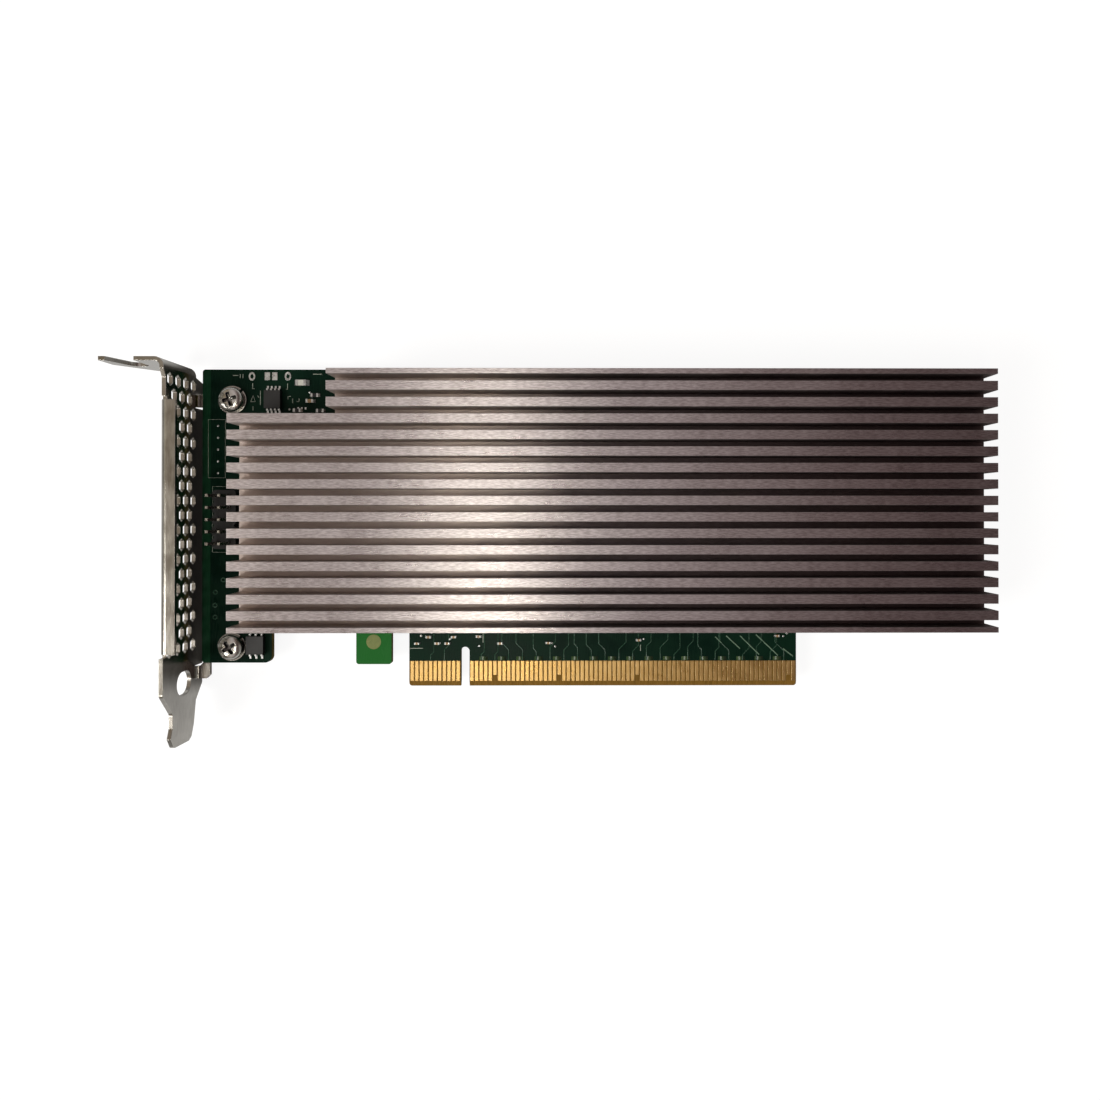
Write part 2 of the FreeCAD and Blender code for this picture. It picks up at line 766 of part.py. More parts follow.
def make_rings(label, outside, inside, thickness):
    """A flat washer lying on z = 0."""
    body = make_body(label, several=True)
    sketch = circle(circle(sketch_on(body, "XY_Plane"), outside), inside)
    return finish(body, pad(body, sketch, thickness))


def make_bracket_screws():
    seat = "lock_washer_thickness"
    body = make_screws("bracket_screws", "bracket_head_diameter", "bracket_head_height",
                       "bracket_screw_diameter",
                       f"({seat} + board_thickness + sheet_thickness + 0.4)")
    pattern(body, None, "Y_Axis", "upper_screw_height - lower_screw_height", "2")
    return put(body, "screw_x", "lower_screw_height", f"front + {seat}")


def make_lock_washers():
    body = make_rings("bracket_lock_washers", "lock_washer_diameter",
                      "bracket_screw_diameter + 2 * bracket_screw_clearance",
                      "lock_washer_thickness")
    split = rectangle(sketch_on(body, "XY_Plane"), "0", "-0.2", "lock_washer_diameter", "0.2")
    pocket(body, split)
    pattern(body, None, "Y_Axis", "upper_screw_height - lower_screw_height", "2")
    return put(body, "screw_x", "lower_screw_height", "front")


def face_down(body):
    """Turn a body over, about the X axis."""
    body.Placement = FreeCAD.Placement(FreeCAD.Vector(), FreeCAD.Rotation(FreeCAD.Vector(1, 0, 0), 180))
    return body


def repeat_at_bosses(body):
    pattern(body, None, "X_Axis", "heatsink_screw_pitch", "heatsink_screw_columns")
    pattern(body, None, "Y_Axis", "screw_row_pitch", "2", back=True)
    return face_down(body)


def make_heatsink_screws():
    body = make_screws("heatsink_screws", "heatsink_head_diameter", "heatsink_head_height",
                       "heatsink_screw_diameter",
                       "(washer_thickness + board_thickness + heatsink_screw_engagement)")
    repeat_at_bosses(body)
    return put(body, "screw_left", "screw_low", "rear - washer_thickness")


def make_insulating_washers():
    body = make_rings("insulating_washers", "washer_diameter", "screw_bore",
                      "washer_thickness")
    repeat_at_bosses(body)
    return put(body, "screw_left", "screw_low", "rear")


# ------------------------------------------------------- processor and pad

def make_processor():
    """Package substrate, stepped metal lid and the thermal pad under the pedestal."""
    substrate = make_body("processor_substrate")
    sketch = centred(sketch_on(substrate, "XY_Plane"), "substrate_size", "substrate_size")
    finish(substrate, pad(substrate, sketch, "substrate_thickness"))
    put(substrate, "processor_to_key", "middle", "front")

    lid = make_body("processor_lid")
    brim = pad(lid, centred(sketch_on(lid, "XY_Plane"), "lid_size", "lid_size"),
               "0.45 * lid_thickness")
    corners = [(f"{a} * lid_size / 2", f"{b} * lid_size / 2") for a in (-1, 1) for b in (-1, 1)]
    soften(lid, "Fillet", brim, "z", corners, "1")
    top = centred(sketch_on(lid, "XY_Plane"), "0.86 * lid_size", "0.86 * lid_size")
    finish(lid, pad(lid, top, "lid_thickness"))
    put(lid, "processor_to_key", "middle", "lid_low")

    film = bind(doc.addObject("Part::Box", "thermal_pad"), Length="0.8 * lid_size",
                Width="0.8 * lid_size", Height="thermal_pad_thickness")
    put(film, "processor_to_key - 0.4 * lid_size", "middle - 0.4 * lid_size", "lid_high")
    return [substrate, lid, film]


# --------------------------------------------------------------- pin header

def make_pin_header():
    """A two-row header: a ribbed housing and square pins that pass through the board."""
    across = "header_columns * header_pitch"
    housing = make_body("pin_header_housing")
    cut, side, end = "0.2 * header_pitch", f"{across} / 2", "header_pitch / 2"
    cell = outline(sketch_on(housing, "XY_Plane"), [
        (f"-{side} + {cut}", f"-{end}"), (f"{side} - {cut}", f"-{end}"),
        (side, f"-{end} + {cut}"), (side, f"{end} - {cut}"),
        (f"{side} - {cut}", end), (f"-{side} + {cut}", end),
        (f"-{side}", f"{end} - {cut}"), (f"-{side}", f"-{end} + {cut}"),
    ])
    pattern(housing, pad(housing, cell, "header_body_height"), "Y_Axis", "header_pitch",
            "header_rows")
    hole = centred(sketch_on(housing, "XY_Plane"), "header_pin_size", "header_pin_size",
                   "-(header_columns - 1) * header_pitch / 2")
    grid(housing, pocket(housing, hole), ("X_Axis", "header_pitch", "header_columns"),
         ("Y_Axis", "header_pitch", "header_rows"))
    put(housing, "header_x + (header_columns - 1) * header_pitch / 2", "header_first_row",
        "front")

    pins = make_body("header_pins", several=True)
    tail = "board_thickness + header_pin_tail"
    square = centred(sketch_on(pins, "XY_Plane", f"-({tail})"), "header_pin_size",
                     "header_pin_size")
    stem = pad(pins, square, f"header_pin_rise + {tail}")
    reach = "header_pin_size / 2"
    tips = pins.newObject("PartDesign::Chamfer", "header_pins_tips")
    tips.Base = (stem, [f"Edge{index}" for index, edge in enumerate(stem.Shape.Edges, start=1)
                        if edge.BoundBox.ZMin > number("header_pin_rise") - 0.01])
    bind(tips, Size=f"0.5 * {reach}")
    doc.recompute()
    pattern(pins, None, "X_Axis", "header_pitch", "header_columns")
    pattern(pins, None, "Y_Axis", "header_pitch", "header_rows")
    put(pins, "header_x", "header_first_row", "front")
    return [housing, pins]


# ---------------------------------------------- parts soldered to the board

def make_blocks(label, length, width, height, spots, below=False):
    """Equal rectangular parts on the board; each spot is (x, y) or (x, y, turned)."""
    blocks = []
    for spot in spots:
        along, across = (width, length) if len(spot) > 2 else (length, width)
        block = bind(doc.addObject("Part::Box", f"{label}_piece"),
                     Length=along, Width=across, Height=height)
        put(block, f"{spot[0]} - {along} / 2", f"{spot[1]} - {across} / 2",
            f"rear - {height}" if below else "front")
        blocks.append(block)
    group = doc.addObject("Part::Compound", label)
    group.Links = blocks
    return group


def make_inductors():
    body = make_body("power_inductors", several=True)
    base = pad(body, centred(sketch_on(body, "XY_Plane"), "inductor_size", "inductor_size"),
               "inductor_height")
    half = "inductor_size / 2"
    soften(body, "Fillet", base, "z",
           [(f"{a} * {half}", f"{b} * {half}") for a in (-1, 1) for b in (-1, 1)],
           "inductor_radius")
    pattern(body, None, "Y_Axis", "inductor_pitch", "inductor_count")
    return put(body, POWER_X, POWER_LOW, "front")


# The power converter stands in the end of the board away from the bracket.
POWER_X = "(screw_left + screw_span - 20)"
POWER_LOW = "(middle - (inductor_count - 1) * inductor_pitch / 2)"


def make_power_stages():
    rows = [f"{POWER_LOW} + {row} * inductor_pitch" for row in range(SIZES["inductor_count"])]
    stages = make_blocks("power_stages", "power_stage_length", "power_stage_width",
                         "power_stage_height",
                         [(f"{POWER_X} + inductor_size / 2 + 4.5", y) for y in rows])
    bulk = make_blocks("bulk_capacitors", "capacitor_length", "capacitor_width",
                       "capacitor_height",
                       [(f"{POWER_X} - inductor_size / 2 - 6", y) for y in rows])
    controller = make_blocks("power_controller", "controller_size", "controller_size",
                             "controller_height", [(f"{POWER_X} - 22", "middle")])
    return [stages, bulk, controller]


def make_memory():
    """Memory packages in a column on each side of the processor."""
    reach = "(substrate_size / 2 + memory_to_substrate + memory_width / 2)"
    count = SIZES["memory_per_side"]
    spots = [(f"processor_to_key {sign} {reach}",
              f"middle + {row - (count - 1) / 2} * (memory_length + memory_gap)", True)
             for sign in "+-" for row in range(count)]
    return make_blocks("memory_packages", "memory_length", "memory_width", "memory_height",
                       spots)


def make_leaded_chips(label, spots):
    """Small packages with gull-wing leads; each spot is (x, y, length, leads, pitch)."""
    bodies = []
    leads = make_body(f"{label}_leads", several=True)
    for x, y, length, count, pitch in spots:
        block = bind(doc.addObject("Part::Box", f"{label}_body"), Length=length,
                     Width="chip_width", Height="chip_height - chip_lift")
        put(block, f"{x} - {length} / 2", f"{y} - chip_width / 2", "front + chip_lift")
        bodies.append(block)
        for sign in ("", "-"):
            start = f"{sign}(chip_width / 2)"
            knee = f"{sign}(chip_width / 2 + lead_reach - lead_foot)"
            foot = f"{sign}(chip_width / 2 + lead_reach)"
            thick = f"{sign}lead_thickness"
            middle = "front + chip_height / 2"
            first = f"{x} - {count - 1} / 2 * {pitch} - lead_width / 2"
            profile = outline(sketch_on(leads, "YZ_Plane", first), [
                (f"{y} + {start}", f"{middle} - lead_thickness"),
                (f"{y} + {knee} - {thick}", f"{middle} - lead_thickness"),
                (f"{y} + {knee} - {thick}", "front"),
                (f"{y} + {foot}", "front"),
                (f"{y} + {foot}", "front + lead_thickness"),
                (f"{y} + {knee}", "front + lead_thickness"),
                (f"{y} + {knee}", middle),
                (f"{y} + {start}", middle),
            ])
            strip = pad(leads, profile, "lead_width")
            pattern(leads, strip, "X_Axis", str(pitch), str(count))
    group = doc.addObject("Part::Compound", label)
    group.Links = bodies
    return [group, leads]


# Small two-ended parts: rows (x, y) beside the board's corner, the card edge and the
# processor.  Heights over the contacts are counted from the contacts' upper ends.
CORNER = ("board_left", "board_height")
OVER_CONTACTS = "contact_rise + contact_height"


def corner_spots(offsets):
    return [(f"{CORNER[0]} + {x}", f"{CORNER[1]} - {y}") for x, y in offsets]


def edge_spots(offsets):
    return [(str(x), f"{OVER_CONTACTS} + {y}") for x, y in offsets]


def processor_ring(radius, count):
    """Places in two rows above and below the processor."""
    return [(f"processor_to_key + {step} * 4 - {(count - 1) * 2}",
             f"middle {sign} ({radius})") for sign in "+-" for step in range(count)]


def make_small_parts():
    ring = "substrate_size / 2 + 2.2"
    resistors = make_blocks("chip_resistors", "small_length", "small_width",
                            "resistor_height", corner_spots([(24.4, 5.6), (25.6, 9.0),
                                                             (20.6, 8.9)])
                            + processor_ring(f"{ring} + 1.6", 5))
    ceramics = make_blocks("ceramic_capacitors", "small_length", "small_width",
                           "ceramic_height", corner_spots([(23.4, 6.9)])
                           + processor_ring(ring, 8))
    tiny = make_blocks("coupling_capacitors", "tiny_length", "tiny_width", "tiny_height",
                       edge_spots([(-10.5, 3.8), (-8.0, 5.2), (-6.1, 3.8), (-3.9, 3.8),
                                   (-2.5, 5.2), (2.9, 5.3), (7.6, 3.8), (18.1, 3.9),
                                   (37.8, 4.5), (68.0, 5.4)]))
    fuse = make_blocks("board_fuse", "fuse_length", "fuse_width", "fuse_height",
                       corner_spots([(21.55, 2.95)]))
    oscillator = make_blocks("oscillator", "oscillator_length", "oscillator_width",
                             "oscillator_height",
                             [("screw_left - 12", "middle")])
    rear = make_blocks("rear_capacitors", "small_length", "small_width", "ceramic_height",
                       [(f"processor_to_key + {column * 5}", f"middle + {row * 5}")
                        for column in (-1.5, -0.5, 0.5, 1.5) for row in (-1, 0, 1)],
                       below=True)
    return [resistors, ceramics, tiny, fuse, oscillator, rear]


CHIPS = [
    ("board_left + 15.5", "board_height - 6.6", "3.5", 4, 0.85),
    ("foot_right - 3.3", "foot_height + 3.9", "3.7", 3, 1.27),
    ("board_right - 8", "middle - 8", "4.9", 4, 1.27),
]

nodes = [
    make_circuit_board(),
    make_contacts("front_contacts", True, [(True, 5), (True, 19), (True, 36), (True, 69)]),
    make_contacts("rear_contacts", False, [(False, 0)]),
    make_heatsink(),
    cut_vents(make_bracket()),
    make_bracket_screws(),
    make_lock_washers(),
    make_heatsink_screws(),
    make_insulating_washers(),
    *make_processor(),
    make_memory(),
    *make_pin_header(),
    make_inductors(),
    *make_power_stages(),
    *make_leaded_chips("small_chips", CHIPS),
    *make_small_parts(),
]
doc.recompute()


# ------------------------------------------------------------ check and save

for thing in doc.Objects:
    if "Invalid" in thing.State or "Error" in thing.State:
        raise ValueError(f"{thing.Label} failed: {thing.State}")

for node in nodes:
    shape = node.Shape
    if shape.isNull() or not shape.isValid() or not shape.Solids:
        raise ValueError(f"{node.Label} has no sound shape")
    shape.exportStep(f"parts/{node.Label}.step")
    box = shape.BoundBox
    print(f"{node.Label}: {len(shape.Solids)} solid(s), {shape.Volume:.1f} cubic mm, "
          f"X {box.XMin:.2f} to {box.XMax:.2f}, Y {box.YMin:.2f} to {box.YMax:.2f}, "
          f"Z {box.ZMin:.2f} to {box.ZMax:.2f}")
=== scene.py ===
# %% [markdown]
# # A passive accelerator card
# This lesson dresses a server card: a green circuit board with a gold card edge, a long
# bare heatsink over it, and a folded, perforated steel bracket at one end.
# The measured solids come first, as a fixed frame. Everything that is added afterwards is
# placed from them, in metres and in the same axes: X along the card, Y up the board and
# Z out of the side that carries the parts.

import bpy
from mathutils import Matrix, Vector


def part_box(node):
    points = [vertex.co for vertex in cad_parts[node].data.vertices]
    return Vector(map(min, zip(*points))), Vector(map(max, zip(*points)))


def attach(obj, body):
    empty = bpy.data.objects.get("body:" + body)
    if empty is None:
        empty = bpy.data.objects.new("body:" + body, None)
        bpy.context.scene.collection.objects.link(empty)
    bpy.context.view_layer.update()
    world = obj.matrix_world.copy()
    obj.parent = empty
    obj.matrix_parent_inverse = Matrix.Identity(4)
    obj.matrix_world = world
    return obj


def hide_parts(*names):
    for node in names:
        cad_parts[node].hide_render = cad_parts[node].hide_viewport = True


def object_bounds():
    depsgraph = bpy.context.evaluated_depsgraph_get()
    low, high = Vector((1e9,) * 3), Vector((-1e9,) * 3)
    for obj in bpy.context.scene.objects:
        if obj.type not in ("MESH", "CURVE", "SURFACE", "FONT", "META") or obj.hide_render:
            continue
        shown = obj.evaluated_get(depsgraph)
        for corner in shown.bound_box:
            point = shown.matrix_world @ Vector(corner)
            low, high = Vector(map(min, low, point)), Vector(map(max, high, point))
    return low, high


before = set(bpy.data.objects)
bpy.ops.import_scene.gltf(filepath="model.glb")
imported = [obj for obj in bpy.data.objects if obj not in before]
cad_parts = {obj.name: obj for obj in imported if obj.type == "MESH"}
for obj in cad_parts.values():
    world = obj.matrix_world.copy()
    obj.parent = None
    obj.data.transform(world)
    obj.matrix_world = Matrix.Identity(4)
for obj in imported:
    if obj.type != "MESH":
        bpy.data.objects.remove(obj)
cad_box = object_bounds()
print("solids:", len(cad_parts), "box in mm:", [round(v * 1000, 2) for v in (cad_box[1] - cad_box[0])])

# %% Tools of the trade
import math
import random

import bmesh
import bpy
from mathutils import Vector

MM = 0.001


def rgb(red, green, blue):
    """A colour given as it looks on a screen, 0 to 255, in the linear values that shaders use."""
    parts = [c / 255 for c in (red, green, blue)]
    return [*(c / 12.92 if c <= 0.04045 else ((c + 0.055) / 1.055) ** 2.4 for c in parts), 1.0]


def add(tree, kind, inputs=None, **settings):
    """A new node with its settings made, and each input linked to a socket or set to a value."""
    node = tree.nodes.new(kind)
    for name, value in settings.items():
        setattr(node, name, value)
    for name, value in (inputs or {}).items():
        if isinstance(value, bpy.types.NodeSocket):
            tree.links.new(value, node.inputs[name])
        else:
            node.inputs[name].default_value = value
    return node


class Formula:
    """A node's output that ordinary arithmetic can be written with: each step adds a Math node."""

    def __init__(self, tree, socket):
        self.tree, self.socket = tree, socket

    def step(self, operation, *others, clamp=False):
        node = self.tree.nodes.new("ShaderNodeMath")
        node.operation, node.use_clamp = operation, clamp
        for place, item in enumerate((self, *others)):
            if isinstance(item, Formula):
                self.tree.links.new(item.socket, node.inputs[place])
            else:
                node.inputs[place].default_value = item
        return Formula(self.tree, node.outputs[0])

    def __add__(self, other): return self.step("ADD", other)
    def __sub__(self, other): return self.step("SUBTRACT", other)
    def __mul__(self, other): return self.step("MULTIPLY", other)
    def __truediv__(self, other): return self.step("DIVIDE", other)
    def __pow__(self, other): return self.step("POWER", other)
    def size(self): return self.step("ABSOLUTE")
    def clamped(self): return self.step("ADD", 0.0, clamp=True)
    def at_least(self, other): return self.step("MAXIMUM", other)
    def over(self, edge, soft): return ((self - edge) / soft).clamped()
    def under(self, edge, soft): return ((self * -1.0 + edge) / soft).clamped()


def axes(tree, vector):
    """The three parts of a vector, as formulas."""
    parts = add(tree, "ShaderNodeSeparateXYZ", {0: vector}).outputs
    return [Formula(tree, parts[axis]) for axis in range(3)]


print("helpers ready")

# %% [markdown]
# ## The camera
# The card lies flat and is seen from straight above, from about 20 cm. A camera that
# isn't turned looks down -Z with +Y upwards in the view; this one is held by hand, so it
# leans by a third of a degree. The card sits a little off the middle of the lens, which
# the camera's shift allows for.

# %% The camera
BOARD_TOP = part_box("circuit_board")[1][2]
camera_data = bpy.data.cameras.new("view_camera")
camera_data.sensor_width = 36.0
camera_data.lens = 29.46
camera_data.shift_x, camera_data.shift_y = -0.0436, -0.0382
camera_data.clip_start, camera_data.clip_end = 0.01, 20.0
camera = bpy.data.objects.new("view_camera", camera_data)
camera.location = (27.7 * MM, 37.58 * MM, BOARD_TOP + 196.4 * MM)
camera.rotation_euler = (0.0059, -0.0062, 0.0)
bpy.context.scene.collection.objects.link(camera)
bpy.context.scene.camera = camera
print("camera above the board in mm:", round((camera.location.z - BOARD_TOP) / MM, 1))

# %% [markdown]
# ## The room
# Bare metal shows what is around it, so the room is part of the material. A soft strip
# lamp beside the camera makes the bright band across the fins, the ceiling is lighter to
# the left and dark to the right, and the floor and the horizon are pale.
#
# The floor is one-sided: from below it lets the camera see the solder side. Its glow is
# seen by the camera, and metal mirrors it only where the floor lies open around the card.
# The face of the bracket that turns to the card mirrors the dark board, so it stays dark.

# %% The floor
FLOOR = cad_box[0][2] - 0.05 * MM
FLOOR_REACH = 2.0
LEFT_OF_CARD, BELOW_CARD, ABOVE_CARD = -62 * MM, 2 * MM, 72 * MM
SEEN_GLOW, MIRRORED_GLOW, HIDDEN_GLOW = 0.90, 0.42, 0.01


def pale_floor():
    """A pale floor that keeps a faint shadow and can be looked through from below."""
    material = bpy.data.materials.new("pale_floor")
    material.use_nodes = True
    tree = material.node_tree
    tree.nodes.clear()
    rays = add(tree, "ShaderNodeLightPath").outputs
    x, y, _ = axes(tree, add(tree, "ShaderNodeTexCoord").outputs["Object"])
    beside = x.under(LEFT_OF_CARD, 4 * MM)
    beyond = y.under(BELOW_CARD, 5 * MM).at_least(y.over(ABOVE_CARD, 5 * MM))
    mirrored = beside.at_least(beyond) * MIRRORED_GLOW + HIDDEN_GLOW
    seen = Formula(tree, rays["Is Camera Ray"]) * SEEN_GLOW + Formula(tree, rays["Is Glossy Ray"]) * mirrored
    paper = add(tree, "ShaderNodeBsdfDiffuse", {"Color": (0.20, 0.20, 0.20, 1.0)})
    glow = add(tree, "ShaderNodeEmission", {"Color": (1.0, 1.0, 1.0, 1.0), "Strength": seen.socket})
    both = add(tree, "ShaderNodeAddShader", {0: paper.outputs[0], 1: glow.outputs[0]})
    clear = add(tree, "ShaderNodeBsdfTransparent")
    back = add(tree, "ShaderNodeNewGeometry").outputs["Backfacing"]
    sided = add(tree, "ShaderNodeMixShader", {0: back, 1: both.outputs[0], 2: clear.outputs[0]})
    add(tree, "ShaderNodeOutputMaterial", {"Surface": sided.outputs[0]})
    return material


floor_mesh = bpy.data.meshes.new("floor")
corners = [(right * FLOOR_REACH, back * FLOOR_REACH, FLOOR) for right, back in ((-1, -1), (1, -1), (1, 1), (-1, 1))]
floor_mesh.from_pydata(corners, [], [(0, 1, 2, 3)])
floor_mesh.materials.append(pale_floor())
floor = bpy.data.objects.new("floor", floor_mesh)
bpy.context.scene.collection.objects.link(floor)
print("floor at Z", round(FLOOR / MM, 2), "mm")

# %% The ceiling and the horizon
LEFT_END, RIGHT_END, HORIZON = (0.60, 0.57, 0.50, 1.0), (0.40, 0.38, 0.36, 1.0), (0.24, 0.23, 0.22, 1.0)
CEILING = (
    (0.288, (0.27, 0.205, 0.125, 1.0)),
    (0.308, (0.36, 0.315, 0.29, 1.0)),
    (0.37, (0.49, 0.44, 0.425, 1.0)),
    (0.42, (0.51, 0.462, 0.448, 1.0)),
    (0.46, (0.49, 0.445, 0.44, 1.0)),
    (0.50, (0.47, 0.42, 0.42, 1.0)),
    (0.54, (0.39, 0.335, 0.325, 1.0)),
    (0.58, (0.28, 0.23, 0.222, 1.0)),
    (0.61, (0.20, 0.157, 0.153, 1.0)),
    (0.645, (0.13, 0.092, 0.09, 1.0)),
    (0.70, (0.075, 0.05, 0.05, 1.0)),
    (0.78, (0.09, 0.07, 0.065, 1.0)),
)
world = bpy.data.worlds.new("room")
world.use_nodes = True
bpy.context.scene.world = world
sky = world.node_tree
sky.nodes.clear()
across, _, up = axes(sky, add(sky, "ShaderNodeTexCoord").outputs["Generated"])
ceiling = add(sky, "ShaderNodeValToRGB", {"Fac": (across * 0.5 + 0.5).socket})
ramp = ceiling.color_ramp
ramp.elements[0].color, ramp.elements[1].color = LEFT_END, RIGHT_END
for position, colour in CEILING:
    ramp.elements.new(position).color = colour
horizon = up.under(0.55, 0.25)
blend = add(sky, "ShaderNodeMix", {0: horizon.socket, 6: ceiling.outputs["Color"], 7: HORIZON}, data_type="RGBA")
background = add(sky, "ShaderNodeBackground", {"Color": blend.outputs[2], "Strength": 1.0})
add(sky, "ShaderNodeOutputWorld", {"Surface": background.outputs[0]})
print("ceiling stops:", len(ramp.elements))


# %% The lamps
def lamp(name, place, aim, size, power, colour):
    """A rectangular lamp that looks at a point."""
    data = bpy.data.lights.new(name, "AREA")
    data.shape, data.size, data.size_y = "RECTANGLE", *size
    data.energy, data.color = power, colour
    item = bpy.data.objects.new(name, data)
    item.location = place
    item.rotation_mode = "QUATERNION"
    item.rotation_quaternion = (Vector(aim) - Vector(place)).to_track_quat("-Z", "Y")
    bpy.context.scene.collection.objects.link(item)
    return item


lamps = [
    lamp("strip_lamp", (-0.065, -0.12, 0.60), (-0.065, -0.12, 0.0), (0.03, 0.26), 0.36, (1.0, 0.97, 0.85)),
    lamp("side_lamp", (-0.75, -0.35, 0.75), (0.02, 0.035, 0.0), (0.5, 0.5), 8.0, (1.0, 0.98, 0.95)),
]
print("lamps:", [item.name for item in lamps])

# %% [markdown]
# ## Effects that several finishes share
# Real surfaces are never one flat value. Three small shader groups give every finish its
# life: a grain that can be stretched along the direction of machining, soft patches of
# handling and dust, and an edge mask that rounds sharp corners and lightens them where
# they wear. Each group is built once, gives only masks and normals, and is placed in
# each material with its own sizes.


# %% A shader group's frame
def new_group(name, inputs, outputs):
    """A shader group with named inputs and outputs; returns it with its sockets on both sides."""
    group = bpy.data.node_groups.new(name, "ShaderNodeTree")
    for label, kind, value in inputs:
        socket = group.interface.new_socket(label, in_out="INPUT", socket_type=kind)
        if value is not None:
            socket.default_value = value
    for label, kind in outputs:
        group.interface.new_socket(label, in_out="OUTPUT", socket_type=kind)
    return group, group.nodes.new("NodeGroupInput").outputs, group.nodes.new("NodeGroupOutput").inputs


# %% The grain
grain_group, given, result = new_group(
    "grain",
    [("Vector", "NodeSocketVector", None), ("Streak", "NodeSocketVector", (1e-3, 1e-3, 1e-3))],
    [("Grain", "NodeSocketFloat")],
)
scaled = add(grain_group, "ShaderNodeVectorMath", {0: given["Vector"], 1: given["Streak"]}, operation="DIVIDE")
noise = add(grain_group, "ShaderNodeTexNoise", {"Vector": scaled.outputs[0], "Scale": 1.0, "Detail": 4.0})
grain_group.links.new(Formula(grain_group, noise.outputs[0]).over(0.25, 0.5).socket, result["Grain"])
print("grain: streaks of any length and width")

# %% The soft patches
patch_group, given, result = new_group(
    "patches",
    [("Vector", "NodeSocketVector", None), ("Size", "NodeSocketFloat", 5e-3)],
    [("Patches", "NodeSocketFloat")],
)
scale = Formula(patch_group, given["Size"]) ** -1.0
noise = add(
    patch_group, "ShaderNodeTexNoise",
    {"Vector": given["Vector"], "Scale": scale.socket, "Detail": 2.0, "Distortion": 0.6},
)
patch_group.links.new(Formula(patch_group, noise.outputs[0]).over(0.32, 0.36).socket, result["Patches"])
print("patches: cloudy areas of any size")

# %% The worn edges
edge_group, given, result = new_group(
    "worn_edges",
    [("Radius", "NodeSocketFloat", 1e-4)],
    [("Edge", "NodeSocketFloat"), ("Normal", "NodeSocketVector")],
)
rounded = add(edge_group, "ShaderNodeBevel", {"Radius": given["Radius"]}, samples=4)
facing = add(edge_group, "ShaderNodeNewGeometry").outputs["Normal"]
agree = add(edge_group, "ShaderNodeVectorMath", {0: rounded.outputs[0], 1: facing}, operation="DOT_PRODUCT")
edge = Formula(edge_group, agree.outputs["Value"]).under(0.995, 0.12)
edge_group.links.new(edge.socket, result["Edge"])
edge_group.links.new(rounded.outputs[0], result["Normal"])
print("worn edges: a mask and a rounded normal")

# %% [markdown]
# ## One recipe for most finishes
# A finish goes from one colour to another by its grain and patches, is lighter on its
# edges, is darkened in its recesses as painted shade where asked, and turns rougher where
# it is paler. What never changes over the surface, such as how metallic it is, is set on
# the shader's own socket.


# %% The recipe
# Painted shade: the colour that recesses are darkened towards, standing in for their shade.
RECESS_SHADE = rgb(34, 32, 30)


def mixed(tree, share, first, second):
    """A colour between two others."""
    return add(tree, "ShaderNodeMix", {0: share, 6: first, 7: second}, data_type="RGBA").outputs[2]


def started(name):
    """A material with only its shader and output, and its Object coordinates."""
    material = bpy.data.materials.new(name)
    material.use_nodes = True
    tree = material.node_tree
    tree.nodes.clear()
    shader = add(tree, "ShaderNodeBsdfPrincipled")
    add(tree, "ShaderNodeOutputMaterial", {"Surface": shader.outputs[0]})
    return material, tree, shader, add(tree, "ShaderNodeTexCoord").outputs["Object"]


def use(tree, group, **inputs):
    """A shader group placed in a material."""
    node = add(tree, "ShaderNodeGroup", node_tree=group)
    for name, value in inputs.items():
        if isinstance(value, bpy.types.NodeSocket):
            tree.links.new(value, node.inputs[name])
        else:
            node.inputs[name].default_value = value
    return node.outputs


def grain_of(tree, place, streak):
    """Grain with streaks of this size in millimetres along X, Y and Z."""
    return Formula(tree, use(tree, grain_group, Vector=place, Streak=[v * MM for v in streak])["Grain"])


def patches_of(tree, place, size):
    """Soft patches of this size in millimetres."""
    return Formula(tree, use(tree, patch_group, Vector=place, Size=size * MM)["Patches"])


def surfaced(tree, shader, colour, roughness, height, normal, relief, deep):
    """The shader's colour, roughness and bump."""
    bump = add(
        tree, "ShaderNodeBump", {"Strength": relief, "Distance": deep, "Height": height.socket, "Normal": normal}
    )
    tree.links.new(colour, shader.inputs["Base Color"])
    tree.links.new(roughness.socket, shader.inputs["Roughness"])
    tree.links.new(bump.outputs[0], shader.inputs["Normal"])


def finish(name, colours, roughness, streak, patch, relief=0.1, edge=8e-5, worn=None, recess_shade_reach=0.0, **constants):
    """Two colours and two roughnesses, streak and patch in millimetres, edge radius and the reach of painted shade
    in recesses in metres.
    """
    material, tree, shader, place = started(name)
    grain, patches = grain_of(tree, place, streak), patches_of(tree, place, patch)
    share = grain * 0.5 + patches * 0.5
    colour = mixed(tree, share.socket, colours[0], colours[1])
    edges = use(tree, edge_group, Radius=edge)
    if worn:
        colour = mixed(tree, (Formula(tree, edges["Edge"]) * (grain * 0.5 + 0.5)).socket, colour, worn)
    # Painted shade: where ambient occlusion finds a recess, the colour is darkened.
    if recess_shade_reach:
        hidden = Formula(tree, add(tree, "ShaderNodeAmbientOcclusion", {"Distance": recess_shade_reach}, samples=8).outputs["AO"])
        colour = mixed(tree, hidden.under(0.78, 0.3).socket, colour, RECESS_SHADE)
    smooth, rough = roughness
    surfaced(tree, shader, colour, share * (rough - smooth) + smooth, grain, edges["Normal"], relief, 2e-5)
    for socket, value in constants.items():
        shader.inputs[socket.replace("_", " ")].default_value = value
    return material


# %% [markdown]
# ## Bare aluminium
# The heatsink is extruded, milled flat on top and left bare. Its grain runs along the
# fins, so a highlight spreads across them: a bright band from the first fin to the last.
# An anisotropic shader does the spreading; short flecks and fine streaks break the band
# up as real milling does, and the burred fin edges are rounded and brighter. Down in the
# grooves lies the duller surface that the die left; its colour fades to dark towards the
# far end, which is painted shade.


# %% The aluminium
SINK_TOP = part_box("heatsink")[1][2]


